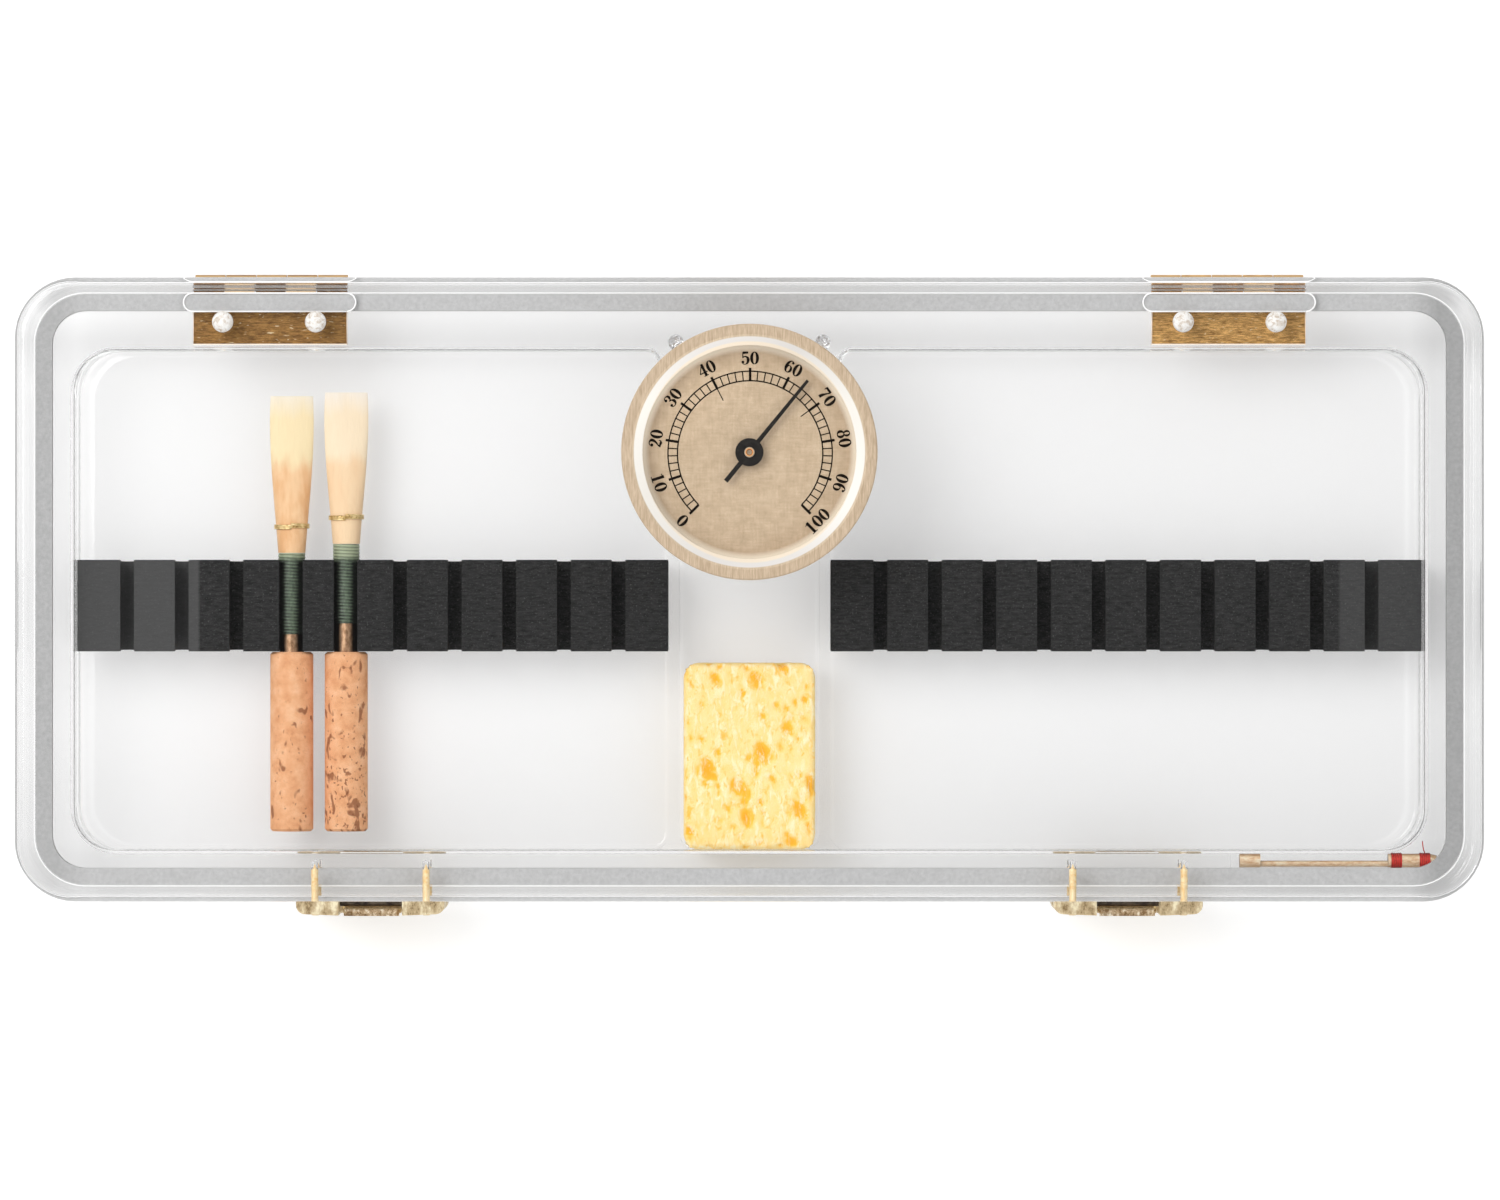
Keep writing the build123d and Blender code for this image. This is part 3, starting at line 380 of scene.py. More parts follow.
class Shader(Nodes):
    """A material with its Principled shader; its further sockets are set by name."""

    def __init__(self, name, color, roughness, **sockets):
        self.material = bpy.data.materials.new(name)
        self.material.use_nodes = True
        super().__init__(self.material.node_tree)
        self.shader = self.tree.nodes["Principled BSDF"]
        self.feed(color, "Base Color")
        self.feed(roughness, "Roughness")
        for socket, value in sockets.items():
            self.feed(value, socket.replace("_", " "))

    def feed(self, value, socket):
        """Give the shader's socket an output, a number or a color."""
        self.plug(value, self.shader.inputs[socket])

    def coords(self, scale=(1, 1, 1), rotation=(0, 0, 0)):
        """Object coordinates in millimetres, stretched by scale."""
        mapping = self.node("ShaderNodeMapping", Scale=[s / MM for s in scale], Rotation=rotation)
        self.link(self.node("ShaderNodeTexCoord").outputs["Object"], mapping.inputs["Vector"])
        return mapping.outputs["Vector"]

    def noise(self, coords, scale, detail=3.0, roughness=0.5, distortion=0.0):
        made = self.node(
            "ShaderNodeTexNoise", Scale=scale, Detail=detail, Roughness=roughness, Distortion=distortion)
        self.link(coords, made.inputs["Vector"])
        return made.outputs["Fac"]

    def attribute(self, name):
        return self.node("ShaderNodeAttribute", attribute_name=name).outputs["Fac"]

    def upward(self):
        """How far the piece's own surface faces up, from -1 to 1."""
        return self.split(self.node("ShaderNodeTexCoord").outputs["Normal"])["Z"]

    def place(self):
        """Object coordinates in metres, as X, Y and Z."""
        return self.split(self.node("ShaderNodeTexCoord").outputs["Object"])

    def along(self, axis, start, end, low=0.0, high=1.0):
        """A level that goes from low to high between two places on an axis."""
        return self.level(self.place()[axis], low, high, start * MM, end * MM)

    def from_axis(self, x, y):
        """Distance in millimetres from an upright axis."""
        here = self.place()
        across = self.math("SUBTRACT", here["X"], x * MM)
        along = self.math("SUBTRACT", here["Y"], y * MM)
        squares = [self.math("MULTIPLY", side, side) for side in (across, along)]
        return self.math("DIVIDE", self.math("SQRT", self.math("ADD", *squares)), MM)

    def shaded_side(self, x, y, reach, level):
        """Level in the bezel's shadow, at the back left of an upright axis, and none elsewhere."""
        here = self.place()
        back = self.math("SUBTRACT", here["Y"], y * MM)
        left = self.math("SUBTRACT", x * MM, here["X"])
        toward = self.math("ADD", back, left)
        return self.level(toward, 0.0, level, SHADE_START * reach * MM, math.sqrt(2) * reach * MM)

    def in_slot(self, color, slot_end_y, side):
        """Paint shade on what lies down in a slot of the bar, most at its sides."""
        up = self.split(self.node("ShaderNodeNewGeometry").outputs["Normal"])["Z"]
        shade = self.level(up, side, 1.0, 0.8, 0.99)
        beyond = self.along("Y", slot_end_y + SLOT_FADE[0], slot_end_y + SLOT_FADE[1])
        return self.shade(color, self.math("MAXIMUM", shade, beyond))

    def under_glass(self, color):
        """Shade a rod that is seen from above through glass: dark at its sides, a gleam near its top."""
        return self.shade(color, self.ramp(self.upward(), [
            (0.0, (0.14, 0.08, 0.04)),
            (0.45, (0.5, 0.42, 0.34)),
            (0.8, (0.9, 0.87, 0.82)),
            (0.93, (1, 1, 1)),
        ]))

    def bump(self, height, distance, strength=1.0):
        made = self.node("ShaderNodeBump", Strength=strength, Distance=distance * MM)
        self.link(height, made.inputs["Height"])
        self.feed(made.outputs["Normal"], "Normal")

    def mix_shaders(self, factor, one, two):
        made = self.node("ShaderNodeMixShader")
        for source, socket in zip((factor, one, two), made.inputs):
            self.link(source, socket)
        return made.outputs[0]

    def let_lamps_through(self, tint):
        """Lamp and diffuse rays pass straight through, so the glass lights what it holds.

        A ray that stays trapped in the glass ends in a painted pale grey glow, where the render would make it
        black.
        """
        rays = self.node("ShaderNodeLightPath").outputs
        lighting = self.math("MAXIMUM", rays["Is Shadow Ray"], rays["Is Diffuse Ray"])
        trapped = self.math("GREATER_THAN", rays["Glossy Depth"], TRAPPED_REFLECTIONS)
        grey = self.node("ShaderNodeEmission", Color=(*TRAPPED_COLOR, 1.0))
        clear = self.node("ShaderNodeBsdfTransparent", Color=(*tint, 1.0))
        seen = self.mix_shaders(trapped, self.shader.outputs[0], grey.outputs[0])
        surface = self.mix_shaders(lighting, seen, clear.outputs[0])
        self.link(surface, self.tree.nodes["Material Output"].inputs["Surface"])


def clear_glass(name, color, ior, tint):
    made = Shader(name, color, 0.0, IOR=ior, Transmission_Weight=1.0)
    made.let_lamps_through(tint)
    return made.material


def brushed_metal(name, stops, stretch=(1.0, 1.0, 1.0), roughness=0.3, fine=9.0, metallic=1.0, sides=None):
    """Metal with fine parallel brushing; stretch is high across the brushing.

    With a color for its sides, the brushing and its painted sheen show in full on what faces up, and faintly
    elsewhere.
    """
    made = Shader(name, stops[-1][1], roughness, Metallic=metallic)
    streaks = made.noise(made.coords(stretch), fine, 5.0, 0.7)
    color = made.ramp(streaks, stops)
    if sides:
        color = made.mix(made.level(made.upward(), 0.12, 1.0, 0.2, 0.6), sides, color)
    made.feed(color, "Base Color")
    made.feed(made.level(streaks, roughness - 0.08, roughness + 0.12, 0.3, 0.7), "Roughness")
    made.bump(streaks, 0.012, 0.6)
    return made.material


def behind_round_edge(made, brass):
    """Brass whose back carries a painted image of the knuckles seen through the lid's round edge: light and
    dark knuckles in turns, the dark ones painted shade in the gaps, and an orange band.
    """
    pitches = made.math("MULTIPLY", made.math("ABSOLUTE", made.place()["X"]), 1 / (KNUCKLE_PITCH * MM))
    wave = made.math("SINE", made.math("MULTIPLY", made.math("ADD", pitches, KNUCKLE_PHASE), math.pi))
    knuckles = made.mix(made.level(wave, 0.0, 1.0, -0.1, 0.1), (0.86, 0.64, 0.4), (0.36, 0.17, 0.09))
    front, back = KNUCKLE_BAND
    color = made.mix(made.along("Y", front, front + BAND_FADE), brass, knuckles)
    color = made.mix(made.along("Y", back, back + BAND_END_FADE), color, brass)
    return made.mix(made.along("Y", OUTER_BAND, OUTER_BAND + BAND_FADE), color, (0.56, 0.35, 0.15))


def hinge_brass(name, painted_knuckles):
    """Brushed hinge brass in long streaks, with painted glints, and painted shade that makes the left hinge
    darker than the right.
    """
    made = Shader(name, (0.5, 0.28, 0.1), 0.32, Metallic=0.35)
    streaks = made.noise(made.coords((0.16, 1.0, 1.0)), 3.4, 8.0, 0.85)
    tone = made.ramp(streaks, [(0.4, (0.28, 0.23, 0.17)), (0.5, (0.6, 0.57, 0.52)), (0.6, (1, 1, 1))])
    # painted shade: the left hinge darker than the right
    color = made.mix(made.along("X", -60, 60), (0.48, 0.25, 0.065), (0.93, 0.55, 0.19))
    color = made.shade(tone, color)
    glints = made.noise(made.coords((0.3, 1.0, 1.0)), 2.6, 3.0, 0.6, 0.4)
    color = made.mix(made.level(glints, 0.0, 0.7, 0.64, 0.7), color, (1.0, 0.86, 0.56))
    if painted_knuckles:
        color = behind_round_edge(made, color)
    made.feed(color, "Base Color")
    made.feed(made.level(streaks, 0.24, 0.45, 0.3, 0.7), "Roughness")
    made.bump(streaks, 0.012, 0.6)
    return made.material


def bezel_ring(x, y):
    """The bevel round the crystal: a painted reflection as a white ring, narrower and greyer at its top and
    bottom, with a painted lit cream band inside it and painted light in its back-left shade.
    """
    made = Shader("bezel_ring", (0.86, 0.82, 0.75), 0.3)
    up = made.math("DIVIDE", made.math("SUBTRACT", made.place()["Y"], y * MM), BEZEL_INNER * MM)
    upright = made.math("MULTIPLY", up, up)
    reach = made.from_axis(x, y)
    white = made.mix(made.level(upright, 0.0, 1.0, 0.2, 0.95), (0.87, 0.84, 0.78), (0.73, 0.7, 0.67))
    inner = made.math("ADD", made.math("MULTIPLY", upright, RING_NARROWING), RING_INNER)
    inside = made.level(made.math("SUBTRACT", reach, inner), 1.0, 0.0, -INNER_FADE, INNER_FADE)
    cream = made.mix(inside, white, (0.84, 0.73, 0.58))
    streaks = made.noise(made.coords((2.6, 0.2, 1.0)), 2.0, 4.0, 0.7)
    metal = made.ramp(streaks, [(0.34, (0.5, 0.38, 0.25)), (0.66, (0.7, 0.56, 0.4))])
    outside = made.level(reach, 0.0, 1.0, RING_OUTER - OUTER_FADE, RING_OUTER + OUTER_FADE)
    color = made.mix(outside, cream, metal)
    made.feed(color, "Base Color")
    made.feed(color, "Emission Color")
    made.feed(made.shaded_side(x, y, BEZEL_INNER, RING_FILL), "Emission Strength")
    return made.material


def arbor_rings(x, y):
    """A dark joint, an orange collar and a beige pivot, told apart by distance from the axis."""
    made = Shader("arbor_rings", (0.8, 0.45, 0.2), 0.35, Metallic=0.2)
    made.feed(made.ramp(made.level(made.from_axis(x, y), 0.0, 1.0), [
        (0.0, (0.35, 0.3, 0.22)),
        (0.36, (0.62, 0.5, 0.36)),
        (0.44, (0.1, 0.03, 0.01)),
        (0.5, (0.72, 0.25, 0.06)),
        (0.64, (0.85, 0.42, 0.15)),
        (0.7, (0.62, 0.5, 0.36)),
        (0.8, (0.5, 0.38, 0.26)),
    ]), "Base Color")
    return made.material


def screw_steel():
    """Bright steel whose worn face breaks up what it mirrors."""
    made = Shader("screw_steel", (0.85, 0.85, 0.86), 0.16, Metallic=1.0)
    made.bump(made.noise(made.coords(), 1.4, 2.0, 0.6, 1.2), 0.35)
    return made.material


def seal_grey():
    """Mottled grey, with painted shade toward the two ends of the case, deeper at the right end."""
    made = Shader("seal_grey", (0.56, 0.56, 0.56), 0.55)
    mottle = made.noise(made.coords(), 1.6, 5.0, 0.65)
    grey = made.ramp(mottle, [(0.3, (0.48, 0.48, 0.48)), (0.7, (0.6, 0.6, 0.6))])
    # painted shade at the ends, deeper at the right
    from_middle = made.math("ABSOLUTE", made.place()["X"])
    ends = made.level(from_middle, 0.0, 1.0, SEAL_SHADE_START * MM, SEAL_SHADE_END * MM)
    shade = made.along("X", -SEAL_SHADE_END, SEAL_SHADE_END, 0.16, 0.28)
    level = made.math("SUBTRACT", 1.0, made.math("MULTIPLY", ends, shade))
    made.feed(made.shade(grey, level), "Base Color")
    made.bump(made.noise(made.coords(), 5.0), 0.02, 0.5)
    return made.material


def bar_rubber():
    """Black with a grain and pale specks, paler at the outer ends of both bars, more at the left."""
    made = Shader("bar_rubber", (0.025, 0.025, 0.025), 0.8, Specular_IOR_Level=0.2)
    grain = made.noise(made.coords((0.25, 1.0, 1.0)), 2.4, 6.0, 0.8)
    specks = made.noise(made.coords(), 3.2, 2.0, 0.5)
    base = made.ramp(grain, [(0.36, (0.006, 0.006, 0.006)), (0.64, (0.036, 0.036, 0.036))])
    speckled = made.mix(made.level(specks, 0.0, 0.55, 0.6, 0.74), base, (0.12, 0.12, 0.12))
    # paler toward the outer ends of both bars, more at the left
    left_end = made.along("X", BAR_PALE_LEFT + BAR_PALE_FADE, BAR_PALE_LEFT, 0.0, 0.5)
    right_end = made.along("X", BAR_PALE_RIGHT - BAR_PALE_FADE, BAR_PALE_RIGHT, 0.0, 0.3)
    uneven = made.math("MAXIMUM", left_end, right_end)
    made.feed(made.mix(uneven, speckled, (0.12, 0.12, 0.12)), "Base Color")
    made.bump(grain, 0.05, 0.5)
    return made.material


def dial_face(x, y):
    """Brushed champagne, paler in a lit rim where the crystal gathers light."""
    made = Shader("dial_face", (0.6, 0.46, 0.32), 0.5, Specular_IOR_Level=0.2)
    across = made.noise(made.coords((0.1, 1.0, 1)), 3.4, 5.0, 0.75)
    along = made.noise(made.coords((1.0, 0.1, 1)), 3.4, 5.0, 0.75)
    mottle = made.noise(made.coords(), 0.5, 5.0, 0.7)
    weave = made.mix(0.4, made.mix(0.5, across, along), mottle)
    face = made.ramp(
        weave, [(0.38, (0.51, 0.38, 0.25)), (0.5, (0.61, 0.465, 0.32)), (0.62, (0.71, 0.56, 0.4))])
    rim = made.level(made.from_axis(x, y), 0.0, 1.0, DIAL_RIM - DIAL_RIM_FADE, DIAL_RIM)
    lit = made.mix(rim, face, (0.93, 0.84, 0.7))
    made.feed(lit, "Base Color")
    made.feed(lit, "Emission Color")
    fill = made.math("ADD", made.shaded_side(x, y, DIAL_RIM, DIAL_FILL), DIAL_GLOW)
    made.feed(fill, "Emission Strength")
    return made.material


def print_ink():
    made = Shader("print_ink", (0.012, 0.008, 0.005), 0.8, Specular_IOR_Level=0.0)
    patch = made.noise(made.coords(), 3.0)
    made.feed(made.ramp(patch, [(0.3, (0.006, 0.004, 0.003)), (0.8, (0.022, 0.014, 0.009))]), "Base Color")
    return made.material


def pointer_lacquer():
    made = Shader("pointer_lacquer", (0.01, 0.008, 0.007), 0.4, Specular_IOR_Level=0.25)
    made.feed(made.level(made.noise(made.coords(), 7.0, 2.0), 0.32, 0.5), "Roughness")
    return made.material


def cork_bark(name, seed, lenticels, foot_y, head_y):
    """Cork with fine pores; lenticels is how thick its dark marks lie toward the foot."""
    made = Shader(name, (0.86, 0.48, 0.28), 0.85, Specular_IOR_Level=0.2)
    grain = made.noise(made.coords((1, 1, 1), (seed, 0, 0)), 0.5, 5.0, 0.6)
    color = made.ramp(
        grain, [(0.3, (0.74, 0.34, 0.16)), (0.5, (0.85, 0.44, 0.23)), (0.72, (0.93, 0.55, 0.32))])
    pores = made.noise(made.coords((1.3, 0.8, 1.3), (0, seed, 0)), 1.3, 3.0, 0.5, 0.6)
    color = made.mix(made.level(pores, 0.0, 0.75, 0.66, 0.74), color, (0.42, 0.15, 0.06))
    toward_foot = made.along("Y", foot_y, head_y, lenticels, 0.0)
    marks = made.noise(made.coords((1, 0.7, 1), (0, 0, seed)), 0.5, 2.0, 0.45, 0.4)
    marks = made.level(made.math("ADD", marks, toward_foot), 0.0, 0.85, 0.68, 0.73)
    color = made.mix(marks, color, (0.3, 0.11, 0.05))
    specks = made.noise(made.coords((1, 0.8, 1), (seed, 0, seed)), 1.7, 1.0, 0.5, 0.3)
    specks = made.level(made.math("ADD", specks, toward_foot), 0.0, 0.8, 0.74, 0.78)
    made.feed(made.mix(specks, color, (0.26, 0.09, 0.04)), "Base Color")
    made.bump(pores, 0.1, 0.4)
    return made.material


def green_thread(slot_end_y):
    """Fibres with painted shade in their grooves and down in the slot, and painted light that makes them
    paler past its end.
    """
    made = Shader("green_thread", (0.09, 0.13, 0.08), 0.45, Coat_Weight=0.1, Coat_Roughness=0.3)
    fibres = made.noise(made.coords((1, 0.5, 1)), 2.5, 4.0)
    color = made.ramp(fibres, [(0.3, (0.06, 0.095, 0.055)), (0.7, (0.15, 0.21, 0.13))])
    # painted light past the slot's end, and painted shade in the grooves
    pale = made.along("Y", slot_end_y + THREAD_FADE[0], slot_end_y + THREAD_FADE[1], 0.0, 0.6)
    color = made.mix(pale, color, (0.56, 0.62, 0.4))
    color = made.mix(made.level(made.attribute("groove"), 0.0, 0.8), color, (0.012, 0.02, 0.012))
    made.feed(made.in_slot(color, slot_end_y, 0.06), "Base Color")
    return made.material


def red_thread():
    made = Shader("red_thread", (0.6, 0.04, 0.02), 0.6)
    fibres = made.noise(made.coords(), 3.0, 4.0)
    color = made.ramp(fibres, [(0.3, (0.5, 0.015, 0.01)), (0.7, (0.85, 0.05, 0.025))])
    # painted shade in the grooves between the turns
    color = made.mix(made.level(made.attribute("groove"), 0.0, 0.7), color, (0.12, 0.005, 0.004))
    made.feed(made.under_glass(color), "Base Color")
    return made.material


def staple_metal(slot_end_y):
    made = Shader("staple_brass", (0.4, 0.22, 0.12), 0.4, Metallic=0.6)
    wear = made.noise(made.coords((1, 0.5, 1)), 2.0)
    color = made.ramp(wear, [(0.35, (0.26, 0.14, 0.07)), (0.65, (0.55, 0.34, 0.2))])
    # painted shade down in the slot
    made.feed(made.in_slot(color, slot_end_y, 0.04), "Base Color")
    return made.material


def tool_brass():
    made = Shader("tool_metal", (0.9, 0.68, 0.44), 0.3, Metallic=0.3)
    streaks = made.noise(made.coords((0.3, 1.0, 1.0)), 2.4, 5.0, 0.7)
    color = made.ramp(
        streaks, [(0.36, (0.72, 0.44, 0.24)), (0.5, (0.92, 0.68, 0.45)), (0.62, (1.0, 0.86, 0.64))])
    made.feed(made.under_glass(color), "Base Color")
    return made.material


def cane_skin(name, root_y, tip_y, bark, blade, stain):
    """Bark up to the scrape, then a paler blade; stain is how much brown the bark shows."""
    made = Shader(name, blade, 0.55, Specular_IOR_Level=0.3)
    along = made.along("Y", root_y, tip_y)
    ragged = made.noise(made.coords((0.8, 0.12, 0.8)), 0.6, 4.0, 0.6)
    wavy = made.math("ADD", along, made.math("MULTIPLY", made.math("SUBTRACT", ragged, 0.5), 0.16))
    pale = tuple(0.5 + 0.5 * level for level in blade)
    color = made.ramp(wavy, [(0.0, bark), (0.52, bark), (0.6, blade), (0.85, blade), (1.0, pale)])
    fibres = made.noise(made.coords((2.2, 0.08, 2.2)), 3.0, 6.0, 0.7)
    tone = made.ramp(fibres, [(0.3, (0.84, 0.8, 0.74)), (0.65, (1, 1, 1))])
    color = made.mix(0.5, color, tone, "MULTIPLY")
    blotch = made.noise(made.coords((1.0, 0.3, 1.0)), 0.5, 4.0, 0.6)
    lower = made.level(along, 1.0, 0.0, 0.5, 0.66)
    mask = made.math("MULTIPLY", made.level(blotch, 0.0, stain, 0.42, 0.66), lower)
    made.feed(made.mix(mask, color, (0.78, 0.4, 0.17)), "Base Color")
    made.bump(fibres, 0.03, 0.4)
    return made.material


def sponge_foam():
    """Yellow foam, with painted shade that deepens it to orange in its pores and dips, painted highlights in
    pale flecks, and a faint painted glow.
    """
    made = Shader("sponge_foam", (0.95, 0.75, 0.3), 0.85)
    color = made.ramp(made.attribute("pore"), [
        (0.0, (1.0, 0.78, 0.36)),
        (0.3, (1.0, 0.69, 0.22)),
        (0.55, (1.0, 0.52, 0.04)),
        (1.0, (0.97, 0.43, 0.02)),
    ])
    # painted highlights in pale flecks, and painted shade in orange dips
    highlight_flecks = made.noise(made.coords((1.0, 0.4, 1.0), (0, 0, 0.7)), 1.0, 5.0, 0.7, 0.6)
    color = made.mix(made.level(highlight_flecks, 0.0, 0.8, 0.5, 0.64), color, (1.0, 0.9, 0.6))
    dips = made.noise(made.coords((1.3, 0.7, 1.3), (0, 0, -0.5)), 0.75, 4.0, 0.65, 0.8)
    color = made.mix(made.level(dips, 0.0, 0.9, 0.55, 0.68), color, (1.0, 0.56, 0.08))
    made.feed(color, "Base Color")
    # a faint painted glow
    made.feed(color, "Emission Color")
    made.feed(0.12, "Emission Strength")
    made.bump(highlight_flecks, 0.3, 0.5)
    return made.material


def lit_edge(name, color):
    """A glowing line, a painted highlight, for the light that an edge cut in the acrylic catches."""
    return Shader(name, color, 0.5, Emission_Color=color, Emission_Strength=0.15).material


def frosted_bore():
    made = Shader("frosted_bore", (0.9, 0.88, 0.85), 0.3)
    rings = made.noise(made.coords(), 1.3, 3.0, 0.6, 0.8)
    color = made.ramp(rings, [(0.34, (0.62, 0.52, 0.42)), (0.5, (0.9, 0.87, 0.83)), (0.7, (1, 0.99, 0.97))])
    made.feed(color, "Base Color")
    made.bump(rings, 0.25, 0.7)
    return made.material


def floor_white():
    """White to the camera; through the case it is darker, with a painted glow that fades toward the walls and
    most under the rims as painted shade, and painted light toward its left end.
    """
    made = Shader("floor_white", (0.8, 0.8, 0.8), 0.9, Emission_Color=(1, 1, 1))
    rays = made.node("ShaderNodeLightPath").outputs
    front_to_back = made.along("Y", -FLOOR_REACH_Y, FLOOR_REACH_Y)
    through = made.ramp(front_to_back, [(share, (level,) * 3) for share, level in FLOOR_LEVELS])
    through = made.math("ADD", through, made.along("X", -FLOOR_REACH_X, FLOOR_REACH_X, FLOOR_TILT, 0.0))
    for start, end, shade in FLOOR_RIMS:
        through = made.math("ADD", through, made.along("X", start, end, 0.0, shade))
    through = made.math("MAXIMUM", through, 0.0)
    # seen through the case, the floor gets a darker base and the painted glow
    bent = made.math("MAXIMUM", rays["Is Glossy Ray"], rays["Is Transmission Ray"])
    made.feed(made.mix(bent, (0.8, 0.8, 0.8), (0.62, 0.62, 0.62)), "Base Color")
    straight = made.math("MULTIPLY", rays["Is Camera Ray"], FLOOR_GLOW)
    made.feed(made.math("MAXIMUM", straight, made.math("MULTIPLY", bent, through)), "Emission Strength")
    return made.material


# CAD nodes and their materials

acrylic = clear_glass("clear_acrylic", (0.995, 0.995, 0.995), 1.49, (0.985, 0.985, 0.985))
crystal = clear_glass("crystal_glass", (0.995, 0.995, 0.99), 1.5, (0.99, 0.99, 0.985))
leaf_brass = hinge_brass("leaf_brass", painted_knuckles=False)
# the backs of the leaves carry the painted image of the knuckles through the lid's edge
leaf_top = hinge_brass("leaf_top", painted_knuckles=True)
# Catch and lever: the cream patches on what faces up are painted highlights
catch_brass = brushed_metal(
    "catch_brass", [(0.34, (0.34, 0.23, 0.11)), (0.5, (0.66, 0.51, 0.3)), (0.64, (1.0, 0.89, 0.62))],
    (1.0, 0.5, 0.3), fine=0.8, metallic=0.35, sides=(0.78, 0.63, 0.36))
lever_brass = brushed_metal(
    "lever_brass", [(0.38, (0.26, 0.15, 0.06)), (0.52, (0.55, 0.4, 0.24)), (0.64, (1.0, 0.91, 0.73))],
    (1.0, 0.7, 0.5), 0.28, fine=1.4, metallic=0.35, sides=(0.8, 0.64, 0.37))
shank_brass = brushed_metal(
    "shank_brass", [(0.34, (0.86, 0.54, 0.2)), (0.62, (1.0, 0.83, 0.52))],
    roughness=0.35, fine=1.5, metallic=0.1)
wire_brass = brushed_metal(
    "wire_brass", [(0.36, (0.5, 0.32, 0.1)), (0.62, (0.95, 0.76, 0.4))], fine=1.2, metallic=0.5)
# painted shadow: the strap's top between a catch's wings, near-black as the shade of that recess
recess_shadow_brass = brushed_metal(
    "recess_shadow_brass", [(0.4, (0.02, 0.012, 0.008)), (0.66, (0.12, 0.09, 0.06))],
    roughness=0.4, fine=0.9, metallic=0.5)
plain_brass = brushed_metal(
    "plain_brass", [(0.3, (0.66, 0.44, 0.16)), (0.62, (1.0, 0.8, 0.42))], roughness=0.22)
bezel_metal = brushed_metal(
    "bezel_metal", [(0.36, (0.449, 0.328, 0.213)), (0.64, (0.654, 0.51, 0.362))],
    (2.6, 0.2, 1.0), 0.45, fine=2.0, metallic=0.1)
steel = brushed_metal("steel", [(0.3, (0.4, 0.4, 0.41)), (0.62, (0.7, 0.7, 0.71))], roughness=0.35)

dial_low, dial_high = box_mm("hygrometer_dial")
arbor_x = (dial_low.x + dial_high.x) / 2
arbor_y = (dial_low.y + dial_high.y) / 2
slot_end_y = box_mm("reed_bar_left")[1].y

# The materials of the nodes whose names start so
MATERIALS = {
    "base_tray": acrylic,
    "lid_shell": acrylic,
    "hygrometer_crystal": crystal,
    "lid_seal": seal_grey(),
    "reed_bar": bar_rubber(),
    "hygrometer_flange": bezel_metal,
    "hygrometer_dial": dial_face(arbor_x, arbor_y),
    "hygrometer_pointer": pointer_lacquer(),
    "hygrometer_arbor": arbor_rings(arbor_x, arbor_y),
    "hygrometer_set_screws": screw_steel(),
    "hygrometer_coil": steel,
    "hygrometer_case": bezel_metal,
    "hygrometer_bridge": plain_brass,
    "tool_body": tool_brass(),
    "hinge_base_leaf": leaf_brass,
    "hinge_lid_leaf": leaf_brass,
    "hinge_pin": plain_brass,
    "hinge_screws": plain_brass,
    "catch_keeper": catch_brass,
    "catch_strike": catch_brass,
    "catch_lever": lever_brass,
    "catch_pin": plain_brass,
    "catch_nails": shank_brass,
}
for number in (1, 2):
    cane_low, cane_high = box_mm(f"reed_{number}_cane")
    cork_low, cork_high = box_mm(f"reed_{number}_cork")
    MATERIALS[f"reed_{number}_cork"] = cork_bark(
        f"cork_bark_{number}", 0.9 * number, CORK_MARKS[number], cork_low.y, cork_high.y)
    MATERIALS[f"reed_{number}_staple"] = staple_metal(slot_end_y)
    MATERIALS[f"reed_{number}_wire"] = wire_brass
    MATERIALS[f"reed_{number}_cane"] = cane_skin(
        f"cane_skin_{number}", cane_low.y, cane_high.y,
        REED_BARK[number], REED_BLADE[number], REED_STAIN[number])

for name, node in nodes.items():
    for start, material in MATERIALS.items():
        if name.startswith(start):
            node.data.materials.clear()
            node.data.materials.append(material)


def part_material(node, material, chosen):
    """Give a CAD node's chosen faces a second material."""
    mesh = nodes[node].data
    mesh.materials.append(material)
    for polygon in mesh.polygons:
        if chosen(polygon):
            polygon.material_index = len(mesh.materials) - 1


def looks_up(polygon):
    return polygon.normal.z > 0.5


def on_bezel(polygon):
    reach = math.hypot(polygon.center.x / MM - arbor_x, polygon.center.y / MM - arbor_y)
    return polygon.normal.z > 0.2 and BEZEL_INNER < reach < BEZEL_OUTER


def on_barrel(polygon):
    return looks_up(polygon) and polygon.center.y / MM > BARREL_FRONT


def in_recess(centre_x):
    """Whether a face lies between the wings of the catch at a place along the front."""
    return lambda polygon: looks_up(polygon) and abs(polygon.center.x / MM - centre_x) < CATCH_RECESS


part_material("hygrometer_flange", bezel_ring(arbor_x, arbor_y), on_bezel)
for side in ("left", "right"):
    part_material("hinge_lid_leaf_" + side, leaf_top, looks_up)
    part_material("hinge_base_leaf_" + side, leaf_top, on_barrel)
    low, high = box_mm("catch_strike_" + side)
    part_material("catch_strike_" + side, recess_shadow_brass, in_recess((low.x + high.x) / 2))


# Dial print


def ribbon(points, closed=False):
    """A flat stroke through (x, y, width) points, as a strip of quads."""
    verts, faces = [], []
    count = len(points)
    for i, (x, y, width) in enumerate(points):
        before = points[(i - 1) % count] if closed or i else points[i]
        after = points[(i + 1) % count] if closed or i < count - 1 else points[i]
        direction = Vector((after[0] - before[0], after[1] - before[1])).normalized()
        side = Vector((-direction.y, direction.x)) * width / 2
        verts += [(x + side.x, y + side.y), (x - side.x, y - side.y)]
    for i in range(count if closed else count - 1):
        j = (i + 1) % count
        faces.append((2 * i, 2 * i + 1, 2 * j + 1, 2 * j))
    return verts, faces


